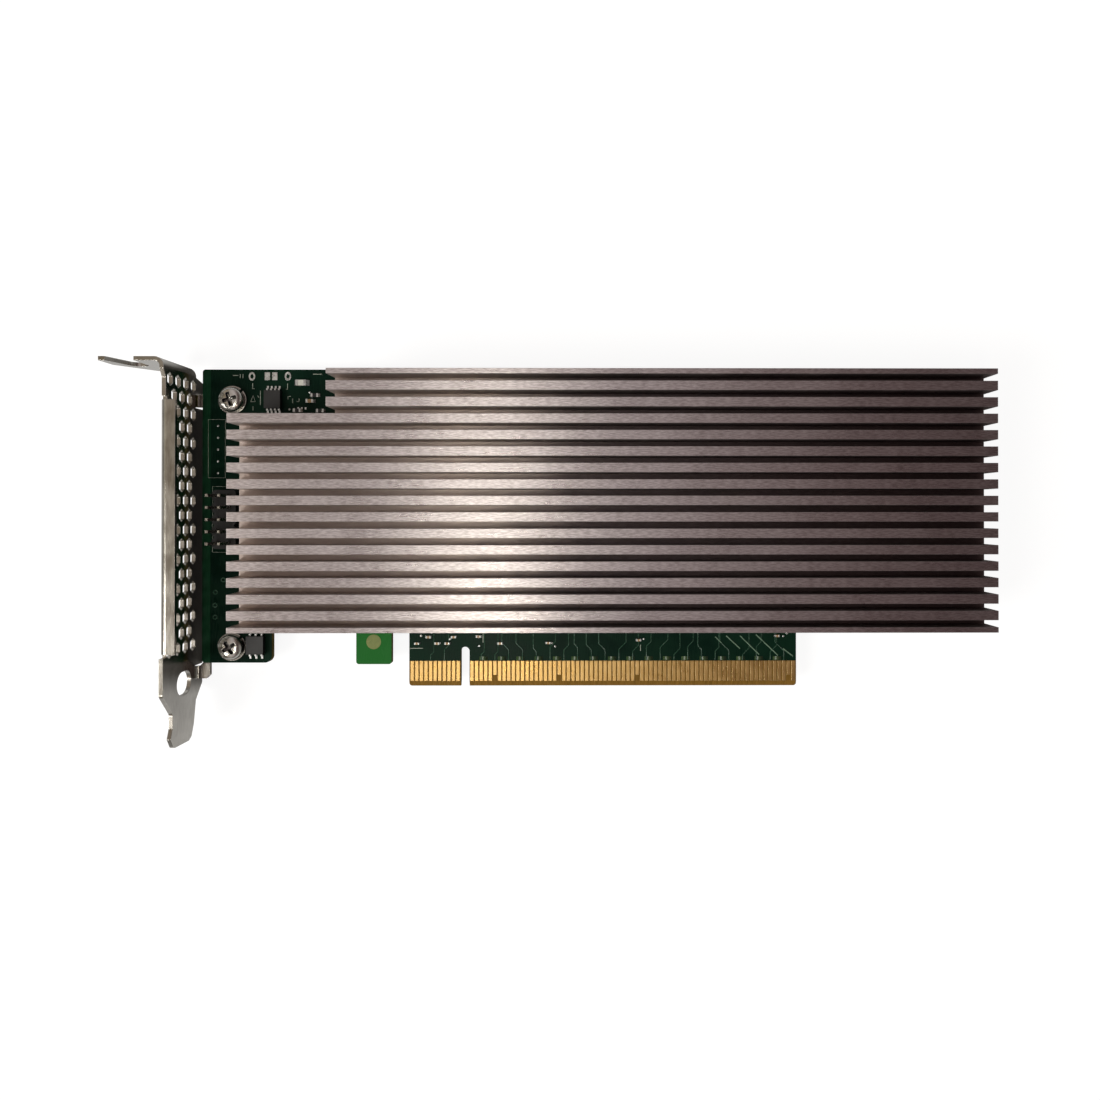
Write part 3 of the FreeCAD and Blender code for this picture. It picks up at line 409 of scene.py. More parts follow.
def bare_aluminium():
    """Milled aluminium on the fins' tops, and the die's duller surface between them, darkened towards the far end by
    painted shade.
    """
    material, tree, shader, place = started("bare_aluminium")
    x, _, z = axes(tree, place)
    fine, coarse = grain_of(tree, place, (1.3, 0.2, 0.4)), grain_of(tree, place, (7, 0.33, 0.8))
    patches = patches_of(tree, place, 9)
    edges = use(tree, edge_group, Radius=1.6e-4)
    flecks = fine.over(0.3, 0.4) * 0.7 + patches * 0.3
    colour = mixed(tree, flecks.socket, (0.45, 0.40, 0.40, 1), (0.77, 0.72, 0.72, 1))
    burr = Formula(tree, edges["Edge"]) * (coarse * 0.6 + 0.2)
    colour = mixed(tree, burr.socket, colour, (0.86, 0.83, 0.80, 1))
    depth = z.under(SINK_TOP - 0.4 * MM, 5 * MM)
    # Painted shade: the grooves' colour darkens from X = 0 to 24 mm towards the far end.
    die_surface_and_painted_shade = mixed(tree, x.over(0.0, 24 * MM).socket, (0.57, 0.48, 0.43, 1), (0.15, 0.115, 0.11, 1))
    colour = mixed(tree, (depth ** 0.4 * 0.85).socket, colour, die_surface_and_painted_shade)
    roughness = coarse * 0.10 + patches * 0.06 + depth * 0.04 + 0.23
    surfaced(tree, shader, colour, roughness, fine * 0.5 + coarse * 0.5, edges["Normal"], 0.7, 3.2e-5)
    shader.inputs["Metallic"].default_value = 1.0
    shader.inputs["Anisotropic"].default_value = 0.9
    tangent = add(tree, "ShaderNodeTangent", direction_type="RADIAL", axis="X")
    tree.links.new(tangent.outputs[0], shader.inputs["Tangent"])
    return material


finishes = {"aluminium": bare_aluminium()}
print("finishes:", list(finishes))

# %% [markdown]
# ## The circuit board
# Solder mask is a green varnish. It looks dark over copper and brighter where light
# passes into the bare laminate, as on the little tab beside the card edge and in a strip
# along the bracket. Between the gold contacts there is no mask, so the honey-coloured
# laminate shows, and the sawn edges of the board are raw fibre.


# %% The laminate
STRIP_END = -55.3
TAB_LEFT, TAB_RIGHT, TAB_TOP = -24.5, -15.5, 13.5
CONTACT_TOP, CONTACT_LEFT = 5.5, -13.0


def laminate():
    """Solder mask, bare laminate and sawn fibre, placed by millimetres along the board."""
    material, tree, shader, place = started("solder_mask")
    x, y, _ = [part / MM for part in axes(tree, place)]
    upright = axes(tree, add(tree, "ShaderNodeNewGeometry").outputs["Normal"])[2].size()
    patches, weave = patches_of(tree, place, 7), grain_of(tree, place, (0.25, 2.5, 1))
    mask = mixed(tree, (patches * 0.7 + weave * 0.3).socket, rgb(5, 28, 20), rgb(14, 44, 30))
    strip = x.under(STRIP_END, 0.2) * 0.6
    mask = mixed(tree, strip.socket, mask, rgb(26, 70, 44))
    tab = x.over(TAB_LEFT, 0.1) * x.under(TAB_RIGHT, 0.1) * y.under(TAB_TOP, 0.2)
    mask = mixed(tree, tab.socket, mask, rgb(38, 108, 46))
    bare = y.under(CONTACT_TOP, 0.08) * x.over(CONTACT_LEFT, 0.1)
    honey = mixed(tree, weave.socket, rgb(112, 84, 34), rgb(140, 106, 48))
    colour = mixed(tree, bare.socket, mask, honey)
    sawn = upright.under(0.6, 0.1)
    fibre = mixed(tree, weave.socket, rgb(118, 110, 62), rgb(168, 152, 96))
    colour = mixed(tree, (sawn * 0.85).socket, colour, fibre)
    roughness = weave * 0.08 + patches * 0.1 + 0.20 + sawn.at_least(bare) * 0.3
    surfaced(tree, shader, colour, roughness, patches, use(tree, edge_group, Radius=1.2e-4)["Normal"], 0.25, 2e-5)
    shader.inputs["Specular IOR Level"].default_value = 0.06
    return material


finishes["laminate"] = laminate()

# %% [markdown]
# ## The other finishes
# Each one is a call of the recipe. The streak is the size of the grain in millimetres
# along X, Y and Z; the patch is the size of its cloudy areas.

# %% Metals
metal = {"Metallic": 1.0}
finishes["gold"] = finish(
    "contact_gold", (rgb(182, 144, 84), rgb(214, 178, 118)), (0.24, 0.40), (0.25, 1.6, 0.5), 3.0,
    relief=0.2, worn=rgb(255, 236, 190), **metal,
)
finishes["steel"] = finish(
    "bracket_steel", (rgb(160, 157, 150), rgb(196, 193, 186)), (0.14, 0.26), (0.5, 3.0, 0.25), 6.0,
    relief=0.18, edge=2.0e-4, worn=rgb(232, 230, 224), **metal,
)
# The screw heads' cross recesses are darkened with painted shade.
finishes["screw_steel"] = finish(
    "screw_nickel", (rgb(190, 188, 180), rgb(226, 224, 218)), (0.13, 0.26), (0.3, 0.3, 0.3), 1.5,
    relief=0.15, edge=1.2e-4, worn=rgb(244, 243, 238), recess_shade_reach=1.2e-3, **metal,
)
finishes["pins"] = finish(
    "pin_tin", (rgb(150, 148, 140), rgb(206, 202, 192)), (0.2, 0.32), (0.2, 0.2, 1.2), 1.0,
    worn=rgb(236, 230, 214), **metal,
)
finishes["tin"] = finish(
    "solder_tin", (rgb(176, 178, 178), rgb(222, 224, 222)), (0.18, 0.42), (0.15, 0.15, 0.15), 0.8,
    relief=0.5, **metal,
)
finishes["lid"] = finish(
    "nickel_lid", (rgb(168, 166, 160), rgb(198, 196, 190)), (0.3, 0.42), (1.5, 0.2, 0.5), 5.0,
    edge=1.5e-4, worn=rgb(224, 222, 214), **metal,
)
print("metals:", [name for name in finishes if name != "laminate"])

# %% Plastics, ceramics and pads
for slot_name, colours, roughness, streak, patch, worn in (
    ("package", (rgb(12, 12, 13), rgb(26, 26, 27)), (0.42, 0.60), (0.12, 0.12, 0.12), 2.5, rgb(64, 64, 64)),
    ("substrate", (rgb(16, 62, 44), rgb(28, 84, 58)), (0.30, 0.45), (0.5, 0.5, 0.5), 4.0, rgb(96, 130, 90)),
    ("pad", (rgb(120, 128, 140), rgb(146, 152, 160)), (0.75, 0.90), (0.4, 0.4, 0.4), 4.0, None),
    ("ferrite", (rgb(40, 41, 43), rgb(62, 62, 64)), (0.45, 0.65), (0.15, 0.15, 0.15), 1.8, rgb(90, 90, 90)),
    ("ceramic", (rgb(150, 120, 84), rgb(176, 146, 106)), (0.35, 0.50), (0.12, 0.12, 0.12), 1.2, rgb(196, 170, 132)),
    ("resistor", (rgb(18, 18, 20), rgb(34, 34, 38)), (0.25, 0.40), (0.12, 0.12, 0.12), 1.2, rgb(90, 90, 92)),
    ("white_ceramic", (rgb(206, 208, 198), rgb(236, 236, 228)), (0.35, 0.50), (0.2, 0.2, 0.2), 1.2, None),
    ("fibre", (rgb(96, 40, 30), rgb(126, 58, 42)), (0.60, 0.80), (0.4, 0.08, 0.08), 2.0, rgb(150, 90, 70)),
):
    finishes[slot_name] = finish(slot_name + "_finish", colours, roughness, streak, patch, relief=0.3, worn=worn)
print("finishes:", len(finishes))

# %% Put each finish on its solids
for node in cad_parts.values():
    for place in node.material_slots:
        place.material = finishes[place.material.name.split(".")[0]]
print("solids dressed:", len(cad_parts))

# %% [markdown]
# ## Small things that repeat
# Screws, washers, chip ends, plated holes and copper lines repeat many times, so each is
# a rule in Geometry Nodes. A rule takes points or lines and a few named sizes, and ends
# in Realize Instances and Set Material. Its result is then kept as a plain mesh.


# %% Build and run a rule
def new_rule(name, inputs):
    """A Geometry Nodes tree with named inputs; returns it with its input and output sockets."""
    tree = bpy.data.node_groups.new(name, "GeometryNodeTree")
    tree.interface.new_socket("Geometry", in_out="INPUT", socket_type="NodeSocketGeometry")
    for label, value in inputs.items():
        kind = "NodeSocketMaterial" if value is None else "NodeSocketFloat"
        socket = tree.interface.new_socket(label, in_out="INPUT", socket_type=kind)
        if value is not None:
            socket.default_value = value
    tree.interface.new_socket("Geometry", in_out="OUTPUT", socket_type="NodeSocketGeometry")
    return tree, tree.nodes.new("NodeGroupInput").outputs, tree.nodes.new("NodeGroupOutput").inputs


def ended(tree, geometry, material, result):
    """The end of every rule: real geometry with its material."""
    real = add(tree, "GeometryNodeRealizeInstances", {0: geometry})
    painted = add(tree, "GeometryNodeSetMaterial", {"Geometry": real.outputs[0], "Material": material})
    tree.links.new(painted.outputs[0], result[0])
    return painted


def joined(tree, *parts):
    """Several geometries as one."""
    node = tree.nodes.new("GeometryNodeJoinGeometry")
    for part in reversed(parts):
        tree.links.new(part, node.inputs[0])
    return node.outputs[0]


def attribute(tree, name, kind="FLOAT"):
    """A named attribute of the points."""
    return add(tree, "GeometryNodeInputNamedAttribute", {"Name": name}, data_type=kind).outputs["Attribute"]


def set_on(tree, points, form, over=0.0, **more):
    """A form set on every point, turned about Z by the point's own turn, and over about X."""
    rotation = add(tree, "ShaderNodeCombineXYZ", {0: over, 2: attribute(tree, "turn")})
    wanted = {"Points": points, "Instance": form, "Rotation": rotation.outputs[0], **more}
    return add(tree, "GeometryNodeInstanceOnPoints", wanted).outputs[0]


def swept(tree, curve, width, height, caps=True):
    """A flat bar of this width and height along a curve."""
    bar = add(tree, "GeometryNodeCurvePrimitiveQuadrilateral", {0: width, 1: height})
    along = {"Curve": curve, "Profile Curve": bar.outputs[0], "Fill Caps": caps}
    return add(tree, "GeometryNodeCurveToMesh", along).outputs[0]


def kept_smooth(tree, geometry, angle=0.6):
    """Smooth shading, but sharp where faces meet at more than the angle."""
    turn = add(tree, "GeometryNodeInputMeshEdgeAngle").outputs["Unsigned Angle"]
    gentle = add(tree, "FunctionNodeCompare", {"A": turn, "B": angle}, data_type="FLOAT", operation="LESS_THAN")
    smooth = add(tree, "GeometryNodeSetShadeSmooth", {"Geometry": geometry})
    by_edge = {"Geometry": smooth.outputs[0], "Shade Smooth": gentle.outputs[0]}
    return add(tree, "GeometryNodeSetShadeSmooth", by_edge, domain="EDGE").outputs[0]


def piece(name, tree, points, slot_name, lines=(), attributes=None, material=None, stands_for=(), **sizes):
    """Runs a rule on points or lines, keeps the result as a plain mesh and lets it ride on the card."""
    mesh = bpy.data.meshes.new(name)
    mesh.from_pydata([tuple(p) for p in points], list(lines), [])
    for label, values in (attributes or {}).items():
        kind = "FLOAT_VECTOR" if isinstance(values[0], (tuple, list, Vector)) else "FLOAT"
        held = mesh.attributes.new(label, kind, "POINT")
        flat = [v for value in values for v in value] if kind == "FLOAT_VECTOR" else list(values)
        held.data.foreach_set("vector" if kind == "FLOAT_VECTOR" else "value", flat)
    item = bpy.data.objects.new(name, mesh)
    bpy.context.scene.collection.objects.link(item)
    rule = item.modifiers.new("rule", "NODES")
    rule.node_group = tree
    sizes["Material"] = material or finishes[slot_name]
    for socket in tree.interface.items_tree:
        if socket.in_out == "INPUT" and socket.name in sizes:
            rule[socket.identifier] = sizes[socket.name]
    depsgraph = bpy.context.evaluated_depsgraph_get()
    plain = bpy.data.meshes.new_from_object(item.evaluated_get(depsgraph), depsgraph=depsgraph)
    item.modifiers.clear()
    item.data = plain
    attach(item, "root")
    if stands_for:
        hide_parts(*stands_for)
    print(f"{name}: {len(points)} places, {len(plain.polygons)} faces")
    return item


def solids_of(node):
    """The lowest and highest corner of each solid in a CAD node, sorted from left to right."""
    work = bmesh.new()
    work.from_mesh(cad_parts[node].data)
    bmesh.ops.remove_doubles(work, verts=work.verts, dist=1e-6)
    left, found = set(work.verts), []
    while left:
        todo, group = [left.pop()], []
        while todo:
            point = todo.pop()
            group.append(point.co.copy())
            near = {e.other_vert(point) for e in point.link_edges} & left
            left -= near
            todo += near
        found.append((Vector(map(min, *group)), Vector(map(max, *group))))
    work.free()
    return sorted(found, key=lambda box: tuple(box[0]))


print("solids in the memory node:", len(solids_of("memory_packages")))

# %% [markdown]
# ## Pan-head screws
# Two screws hold the bracket's ears and six hold the heatsink from behind. A pan head is
# nearly a height field over a disc: its rounded top is one curve and its cross recess is
# two smooth slots taken away from it. So the rule bends a flat grid into a disc and
# lifts each point by a formula, which keeps every size a plain number. The shank is a
# cylinder whose points step in and out with their turn, as a thread does.

# %% The screw rule
AROUND, OUTWARDS = 120, 60
screw_sizes = {
    "Head Radius": 2.7 * MM, "Head Height": 1.9 * MM, "Recess Reach": 1.45 * MM, "Recess Width": 0.34 * MM,
    "Recess Depth": 1.1 * MM, "Shank Radius": 1.5 * MM, "Shank Length": 5 * MM, "Thread Pitch": 0.5 * MM,
}
screw_rule, given, result = new_rule("pan_head_screws", {**screw_sizes, "Over": 0.0, "Material": None})
value = {name: Formula(screw_rule, given[name]) for name in screw_sizes}
grid = add(
    screw_rule, "GeometryNodeMeshGrid",
    {"Size X": 1.0, "Size Y": 1.0, "Vertices X": AROUND + 1, "Vertices Y": OUTWARDS + 1},
)
u, v, _ = axes(screw_rule, add(screw_rule, "GeometryNodeInputPosition").outputs[0])
turn = (u + 0.5) * (2 * math.pi)
slope = (v + 0.5) ** 1.4 * (math.pi / 2)
radius = value["Head Radius"] * slope.step("SINE").at_least(0.0) ** 0.62
x, y = radius * turn.step("COSINE"), radius * turn.step("SINE")
dome = value["Head Height"] * slope.step("COSINE").at_least(0.0) ** 0.55


def slot_share(run, across):
    """One slot of the recess: 1 inside it, 0 outside, with steep walls."""
    inside = (value["Recess Width"] - across.size()) / (0.12 * MM) + 0.5
    short = (value["Recess Reach"] - run.size()) / (0.25 * MM) + 0.5
    return inside.clamped() * short.clamped()


recess = slot_share(x, y).at_least(slot_share(y, x))
depth = value["Recess Depth"] * ((radius / value["Recess Reach"]) * -0.45 + 1.0)
height = dome - recess * depth
bent = add(screw_rule, "ShaderNodeCombineXYZ", {0: x.socket, 1: y.socket, 2: height.socket})
head = add(screw_rule, "GeometryNodeSetPosition", {"Geometry": grid.outputs[0], "Position": bent.outputs[0]})
under = add(
    screw_rule, "GeometryNodeMeshCircle", {"Vertices": AROUND, "Radius": given["Head Radius"]}, fill_type="NGON"
)
both = joined(screw_rule, head.outputs[0], under.outputs[0])
closed = add(screw_rule, "GeometryNodeMergeByDistance", {"Geometry": both, "Distance": 1e-6})
head = add(screw_rule, "GeometryNodeFlipFaces", {0: closed.outputs[0]})
print("head:", AROUND, "by", OUTWARDS, "patches")

# %% The threaded shank
tube = add(
    screw_rule, "GeometryNodeMeshCylinder",
    {"Vertices": 24, "Side Segments": 40, "Radius": given["Shank Radius"], "Depth": given["Shank Length"]},
)
px, py, pz = axes(screw_rule, add(screw_rule, "GeometryNodeInputPosition").outputs[0])
around = py.step("ARCTAN2", px) / (2 * math.pi)
wave = (pz / value["Thread Pitch"] + around).step("FRACT")
squeeze = (wave - 0.5).size() * -0.22 + 1.0
down = value["Shank Length"] * 0.5
cut = [part.socket for part in (px * squeeze, py * squeeze, pz - down)]
thread = add(screw_rule, "ShaderNodeCombineXYZ", dict(enumerate(cut)))
shank = add(screw_rule, "GeometryNodeSetPosition", {"Geometry": tube.outputs[0], "Position": thread.outputs[0]})
whole = kept_smooth(screw_rule, joined(screw_rule, head.outputs[0], shank.outputs[0]))
placed = set_on(screw_rule, given["Geometry"], whole, over=given["Over"])
ended(screw_rule, placed, given["Material"], result)
print("shank: 24 by 40 patches")

# %% The eight screws
ring_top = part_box("bracket_lock_washers")[1][2]
screw_spots = [((lo + hi) / 2).xy for lo, hi in solids_of("bracket_screws")]
shank_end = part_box("bracket_screws")[0][2]
piece(
    "bracket_pan_screws", screw_rule, [(p.x, p.y, ring_top) for p in screw_spots], "screw_steel",
    attributes={"turn": [0.55, 0.30]}, stands_for=["bracket_screws"],
    **{"Shank Length": ring_top - shank_end, "Head Height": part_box("bracket_screws")[1][2] - ring_top},
)
sink_spots = [((lo + hi) / 2).xy for lo, hi in solids_of("heatsink_screws")]
washer_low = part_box("insulating_washers")[0][2]
sink_low, sink_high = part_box("heatsink_screws")
piece(
    "heatsink_pan_screws", screw_rule, [(p.x, p.y, washer_low) for p in sink_spots], "screw_steel",
    attributes={"turn": [0.2, 1.1, 0.6, 0.9, 0.35, 1.3]}, stands_for=["heatsink_screws"],
    **{
        "Head Radius": 2.3 * MM, "Head Height": washer_low - sink_low[2], "Recess Reach": 1.25 * MM,
        "Recess Width": 0.28 * MM, "Recess Depth": 0.9 * MM, "Shank Radius": 1.25 * MM,
        "Shank Length": sink_high[2] - washer_low, "Thread Pitch": 0.45 * MM, "Over": math.pi,
    },
)

# %% [markdown]
# ## Split lock washers
# Under each bracket screw lies a spring washer: a bar bent into a ring with a small gap,
# whose ends don't quite meet. An arc swept with a square bar is the plain way to make it.

# %% The washer rule
washer_rule, given, result = new_rule(
    "split_washers",
    {"Outer Radius": 3.05 * MM, "Inner Radius": 1.6 * MM, "Thickness": 0.6 * MM, "Material": None},
)
outer, inner = Formula(washer_rule, given["Outer Radius"]), Formula(washer_rule, given["Inner Radius"])
arc = add(
    washer_rule, "GeometryNodeCurveArc",
    {
        "Resolution": 64, "Radius": ((outer + inner) * 0.5).socket,
        "Start Angle": 0.9, "Sweep Angle": math.radians(349),
    },
)
steady = add(washer_rule, "GeometryNodeSetCurveNormal", {"Curve": arc.outputs["Curve"]}, mode="Z_UP")
ring = kept_smooth(washer_rule, swept(washer_rule, steady.outputs[0], (outer - inner).socket, given["Thickness"]))
placed = add(washer_rule, "GeometryNodeInstanceOnPoints", {"Points": given["Geometry"], "Instance": ring})
ended(washer_rule, placed.outputs[0], given["Material"], result)
washer_boxes = solids_of("bracket_lock_washers")
low_corner, high_corner = washer_boxes[0]
piece(
    "bracket_split_washers", washer_rule, [(lo + hi) / 2 for lo, hi in washer_boxes], "screw_steel",
    stands_for=["bracket_lock_washers"],
    **{"Outer Radius": (high_corner.x - low_corner.x) / 2},
)

# %% [markdown]
# ## Chips with tinned ends
# The little capacitors and resistors are blocks of ceramic with a tinned cap at each end
# and a slope of solder down to its pad. All are one shape stretched to each solid's own
# box, so the rule makes a chip one unit long and scales it by an attribute of each point.
# The ones behind the board are turned over, not mirrored, so their faces point outwards.

# %% The chip rule
chip_rule, given, result = new_rule("tinned_chips", {"Over": 0.0, "Material": None, "Ends": None})


def block(tree, size, shift, slant=None):
    """A cube of a size and place in the unit chip; slant moves its upper edge along X."""
    cube = add(tree, "GeometryNodeMeshCube", {"Size": size})
    moved = add(tree, "GeometryNodeSetPosition", {"Geometry": cube.outputs[0], "Offset": shift})
    if slant:
        _, _, z = axes(tree, add(tree, "GeometryNodeInputPosition").outputs[0])
        lifted = add(tree, "ShaderNodeCombineXYZ", {0: (z.over(-0.4, 0.3) * slant).socket})
        moved = add(tree, "GeometryNodeSetPosition", {"Geometry": moved.outputs[0], "Offset": lifted.outputs[0]})
    return moved.outputs[0]


core = block(chip_rule, (0.62, 0.94, 0.94), (0, 0, -0.01))
caps = [block(chip_rule, (0.24, 1.0, 1.0), (side * 0.38, 0, 0)) for side in (-1, 1)]
slopes = [block(chip_rule, (0.22, 0.96, 0.6), (side * 0.61, 0, -0.2), slant=-side * 0.2) for side in (-1, 1)]
marked = add(
    chip_rule, "GeometryNodeStoreNamedAttribute",
    {"Geometry": joined(chip_rule, *caps, *slopes), "Name": "end", "Value": 1.0}, data_type="FLOAT", domain="FACE",
)
whole = joined(chip_rule, core, marked.outputs[0])
stretch = attribute(chip_rule, "stretch", "FLOAT_VECTOR")
placed = set_on(chip_rule, given["Geometry"], whole, over=given["Over"], Scale=stretch)
painted = ended(chip_rule, placed, given["Material"], result)
picked = add(
    chip_rule, "FunctionNodeCompare", {"A": attribute(chip_rule, "end"), "B": 0.5},
    data_type="FLOAT", operation="GREATER_THAN",
)
tinned = add(
    chip_rule, "GeometryNodeSetMaterial",
    {"Geometry": painted.outputs[0], "Selection": picked.outputs[0], "Material": given["Ends"]},
)
chip_rule.links.new(tinned.outputs[0], result[0])
print("chip: a core, two caps and two slopes of solder")

# %% Every small chip
for name, node, slot_name, below in (
    ("tinned_ceramic_capacitors", "ceramic_capacitors", "ceramic", False),
    ("tinned_coupling_capacitors", "coupling_capacitors", "ceramic", False),
    ("tinned_resistors", "chip_resistors", "resistor", False),
    ("tinned_fuse", "board_fuse", "white_ceramic", False),
    ("tinned_rear_capacitors", "rear_capacitors", "ceramic", True),
):
    boxes = solids_of(node)
    sizes = [hi - lo for lo, hi in boxes]
    piece(
        name, chip_rule, [(lo + hi) / 2 for lo, hi in boxes], slot_name, stands_for=[node], Ends=finishes["tin"],
        Over=math.pi if below else 0.0,
        attributes={
            "stretch": [(max(s.x, s.y), min(s.x, s.y), s.z) for s in sizes],
            "turn": [math.pi / 2 if s.y > s.x else 0.0 for s in sizes],
        },
    )

# %% [markdown]
# ## Printed lines
# A line on the board is a path with a flat bar swept along it. Copper runs under the
# mask and shows as a lighter, raised green; the white outlines are printed ink. Each
# contact's line leaves it upwards and turns by 45 degrees, as a board layout does.

# %% The line rule
line_rule, given, result = new_rule("flat_lines", {"Width": 0.2 * MM, "Height": 0.04 * MM, "Material": None})
path = add(line_rule, "GeometryNodeMeshToCurve", {"Mesh": given["Geometry"]})
steady = add(line_rule, "GeometryNodeSetCurveNormal", {"Curve": path.outputs[0]}, mode="Z_UP")
flat_bar = swept(line_rule, steady.outputs[0], given["Width"], given["Height"])
ended(line_rule, flat_bar, given["Material"], result)


def lines(name, paths, material, face=1, **sizes):
    """Lines on one face of the board from lists of points in millimetres."""
    points, edges = [], []
    for path in paths:
        first = len(points)
        points += [(x * MM, y * MM, face * (BOARD_TOP + 0.01 * MM)) for x, y in path]
        edges += [(first + step, first + step + 1) for step in range(len(path) - 1)]
    return piece(name, line_rule, points, "laminate", lines=edges, material=material, **sizes)


# %% Four printed finishes
varnish, even_grain = (0.2, 0.34), (0.3, 0.3, 0.3)
stub_mask = finish("mask_over_gold", (rgb(44, 66, 38), rgb(66, 88, 50)), varnish, even_grain, 3.0)
under_mask = finish("mask_over_copper", (rgb(20, 58, 42), rgb(34, 78, 54)), varnish, even_grain, 3.0)
bright_line = finish("thin_mask", (rgb(84, 116, 92), rgb(128, 152, 132)), varnish, even_grain, 2.0)
ink = finish(
    "printed_ink", (rgb(136, 152, 136), rgb(208, 214, 202)), (0.5, 0.7), (0.12, 0.12, 0.12), 0.9, relief=0.3
)
print("printed finishes: 4")

# %% Lines that leave the contacts
chance = random.Random(7)
LINE_START, LINE_END = 5.6, 12.4
EDGE_LEFT, EDGE_RIGHT, KEY_CLEARANCE = -11, 71, 2.4
contact_spots = [((lo + hi) / 2).x / MM for lo, hi in solids_of("front_contacts")]
fan = []
for order, x in enumerate(contact_spots):
    if order % 3 != 1 or abs(x) < KEY_CLEARANCE:
        continue
    bend, lean = 6.6 + chance.random() * 2.2, chance.choice((-1, 1, 1)) * (0.6 + chance.random() * 1.4)
    if EDGE_LEFT < x + lean < EDGE_RIGHT and abs(x + lean) > KEY_CLEARANCE:
        fan.append([(x, LINE_START), (x, bend), (x + lean, bend + abs(lean)), (x + lean, LINE_END)])
stubs = [[(x + 0.5, LINE_START), (x + 0.5, LINE_START + 0.8)] for x in contact_spots[13:-1:4]]
lines("contact_lines", fan, under_mask, Width=0.24 * MM)
lines("contact_stubs", stubs, stub_mask, Width=1.8 * MM, Height=0.036 * MM)
lines(
    "diagonal_lines",
    [[(54.5, 10.7), (55.8, 9.4)], [(56.9, 10.9), (59.9, 8.1)], [(59.9, 10.9), (64.1, 6.8)],
     [(63.4, 11.15), (68.2, 6.6)], [(69.3, 8.1), (71.5, 6.4)]],
    bright_line, Width=0.26 * MM, Height=0.044 * MM,
)

# %% Lines on the solder side
rear_lines = []
for order, x in enumerate(contact_spots[12:]):
    if order % 2:
        continue
    spread = (x - 35) * 0.22 + chance.random() * 0.6
    low = 7.2 + (order % 14) * 0.5
    high = 20 + (order % 10) * 2.1
    rear_lines.append([(x, 5.7), (x, low), (x - spread, low + abs(spread)), (x - spread, high)])
for row in range(14):
    y, left = 27 + row * 2.6, -44 + chance.random() * 18
    right = 34 + chance.random() * 60
    step = chance.choice((-1.3, 1.3))
    rear_lines.append([(left, y), (left + 22, y), (left + 23.3, y + step * 0.5), (right, y + step * 0.5)])
lines("rear_lines", rear_lines, under_mask, face=-1, Width=0.22 * MM)

# %% Printed outlines
head_low, head_high = (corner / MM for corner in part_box("pin_header_housing"))
header_sides = (head_low[0] - 0.9, head_high[0] + 0.9, head_low[1] - 0.8, head_high[1] + 0.8)
outlines = [
    [(left, low), (left, high), (right, high), (right, low), (left, low)]
    for left, right, low, high in (header_sides, (-55.9, -52.2, 45.3, 58.0))
]
lines("component_outlines", outlines, ink, Width=0.09 * MM, Height=0.03 * MM)
marks = [
    [(-46.3, 65.9), (-46.3, 64.7), (-45.9, 64.7)], [(-38.7, 65.9), (-38.7, 64.6), (-39.1, 64.6)],
    [(-44.6, 64.3), (-44.6, 61.2)], [(-46.7, 61.9), (-46.2, 63.2), (-45.7, 61.9), (-46.7, 61.9)],
    [(-45.2, 63.2), (-44.9, 62.8)], [(-46.2, 60.9), (-46.2, 60.0)],
    [(-38.6, 63.1), (-38.6, 62.4)], [(-38.6, 63.0), (-38.0, 63.1)],
    [(-37.6, 62.6), (-37.6, 61.6)], [(-36.2, 62.6), (-36.2, 61.9), (-36.7, 61.9)],
    [(-33.2, 67.9), (-31.2, 67.9)], [(-50.6, 67.6), (-49.4, 67.6)], [(-49.0, 67.9), (-49.0, 67.0)],
    [(-48.4, 67.9), (-48.4, 67.0)], [(-12, 8.2), (-9.2, 8.2)], [(3.9, 9.4), (3.9, 11.4)], [(38.2, 7.6), (38.2, 8.9)],
]
lines("printed_marks", marks, ink, Width=0.16 * MM, Height=0.03 * MM)

# %% [markdown]
# ## Pads, plated holes and solder
# These are all stamps: one small form set on many points, stretched and turned by the
# points' own attributes, and turned over where it hangs behind the board. A ring is a
# plated hole's rim, a dome is a drop of solder, a plate is a bare tinned pad, a disc is
# the round pad on the tab and a cone is the solder that climbs a pin.


# %% The stamps
def stamp_rule(name, build):
    """A rule that sets one form on every point, with that point's own size and turn."""
    tree, given, result = new_rule(name, {"Over": 0.0, "Material": None})
    form = kept_smooth(tree, build(tree))
    stretch = attribute(tree, "stretch", "FLOAT_VECTOR")
    placed = set_on(tree, given["Geometry"], form, over=given["Over"], Scale=stretch)
    ended(tree, placed, given["Material"], result)
    return tree


def ring_form(tree):
    """A flat ring one unit across."""
    circle = add(tree, "GeometryNodeCurvePrimitiveCircle", {"Resolution": 24, "Radius": 0.38})
    return swept(tree, circle.outputs[0], 0.24, 1.0, caps=False)


def plain_form(kind, **sizes):
    """A builder for one of the ready-made mesh forms, one unit across."""
    values = {name.replace("_", " "): size for name, size in sizes.items()}
    return lambda tree: add(tree, f"GeometryNodeMesh{kind}", values).outputs[0]


forms = {
    "ring": ring_form,
    "dome": plain_form("UVSphere", Segments=20, Rings=12, Radius=0.5),
    "plate": plain_form("Cube", Size=(1, 1, 1)),
    "disc": plain_form("Cylinder", Vertices=48, Radius=0.5, Depth=1.0),
    "cone": plain_form("Cone", Vertices=20, Radius_Top=0.2, Radius_Bottom=0.5, Depth=1.0),
}
stamp_rules = {name: stamp_rule(f"stamp_{name}", build) for name, build in forms.items()}
print("stamps:", list(stamp_rules))


def stamps(name, form, spots, size, material=None, face=1, rise=0.0, over=0.0, slot_name="tin"):
    """Stamps at spots in millimetres on one face of the board; size is the full size of each."""
    sizes = size if isinstance(size, list) else [size] * len(spots)
    points = [(x * MM, y * MM, face * (BOARD_TOP + rise * MM)) for x, y in spots]
    own = {"stretch": [(a * MM, b * MM, c * MM) for a, b, c in sizes], "turn": [0.0] * len(spots)}
    return piece(name, stamp_rules[form], points, slot_name, material=material, attributes=own, Over=over)


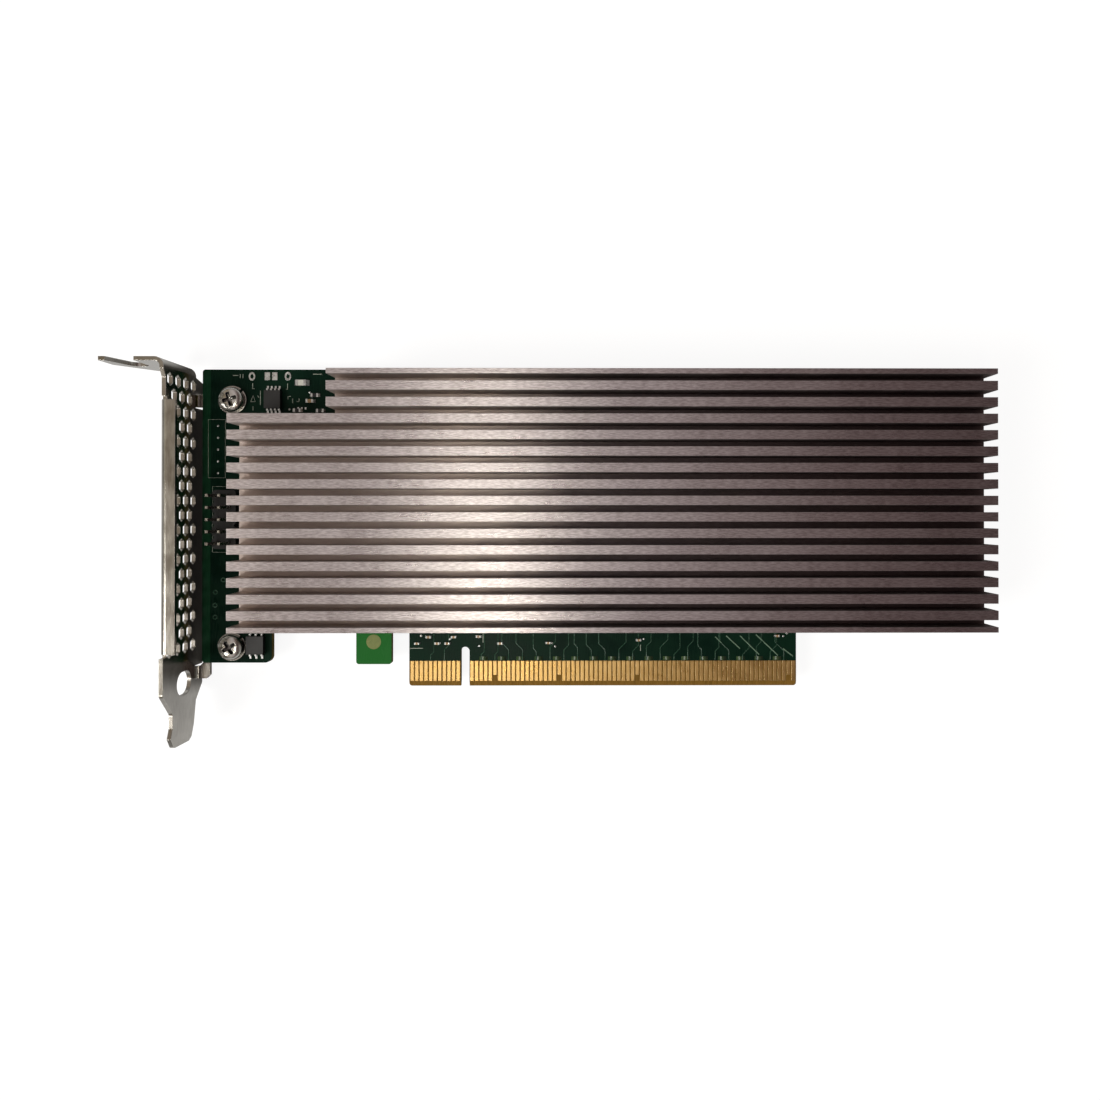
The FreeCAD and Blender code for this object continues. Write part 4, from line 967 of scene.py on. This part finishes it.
# %% Pads and rings on the front
stamps(
    "bare_pads", "plate", [(-43.1, 67.45), (-41.5, 67.45), (-36.4, 60.45), (-35.6, 60.45), (-34.8, 60.45)],
    [(1.15, 1.7, 0.06)] * 2 + [(0.35, 0.5, 0.06)] * 3,
)
stamps("oval_rings", "ring", [(-46.45, 67.4), (-38.63, 67.45)], (1.4, 1.9, 0.07))
column = [(-53.8, 56.6 - 2.57 * step) for step in range(5)]
above = [
    (-9.6, 10.9), (-7.3, 11.6), (-4.9, 11.8), (-3.3, 10.2), (2.9, 10.6), (3.1, 8.7), (7.4, 9.2), (18.9, 9.3),
    (19.6, 8.6), (37.6, 9.9), (38.9, 10.2), (67.6, 10.9), (69.4, 10.8), (70.2, 11.4),
]
stamps("solder_drops", "dome", column + above + [(-38.3, 60.2), (-33.9, 63.9)], (0.5, 0.5, 0.18))
stamps(
    "plated_rings", "ring", [(-54.37, 17.6), (-54.36, 15.0), (-54.3, 20.4), (-52.6, 23.1)],
    (1.1, 1.1, 0.05), under_mask, slot_name="laminate",
)
khaki = finish("khaki_pad", (rgb(96, 112, 44), rgb(128, 136, 66)), (0.3, 0.5), (0.2, 0.2, 0.2), 1.2)
stamps("tab_pad", "disc", [(-19.9, 9.6)], (3.2, 3.2, 0.05), khaki, slot_name="laminate")

# %% Plated holes and solder on the rear
HOLES, SCREW_CLEARANCE = 130, 5.0
screw_middles = [((lo + hi) / 2).xy / MM for lo, hi in solids_of("heatsink_screws")]
drilled = []
while len(drilled) < HOLES:
    spot = (-50 + chance.random() * 156, 15 + chance.random() * 50)
    clear = all((Vector(spot) - middle).length > SCREW_CLEARANCE for middle in screw_middles)
    under_processor = 0 < spot[0] < 22 and 33 < spot[1] < 47
    if clear and not under_processor:
        drilled.append(spot)
drilled = [(x, y) for x, y in drilled if not (-56 < x < -44 and (y > 56 or 28 < y < 44))]
stamps("rear_rings", "ring", drilled, (0.62, 0.62, 0.05), face=-1)
pin_spots = [((lo + hi) / 2).xy / MM for lo, hi in solids_of("header_pins")]
stamps("rear_solder_cones", "cone", pin_spots, (1.5, 1.5, 0.8), face=-1, rise=0.38, over=math.pi)

# %% Finish: the view transform
bpy.context.scene.view_settings.view_transform = "Standard"
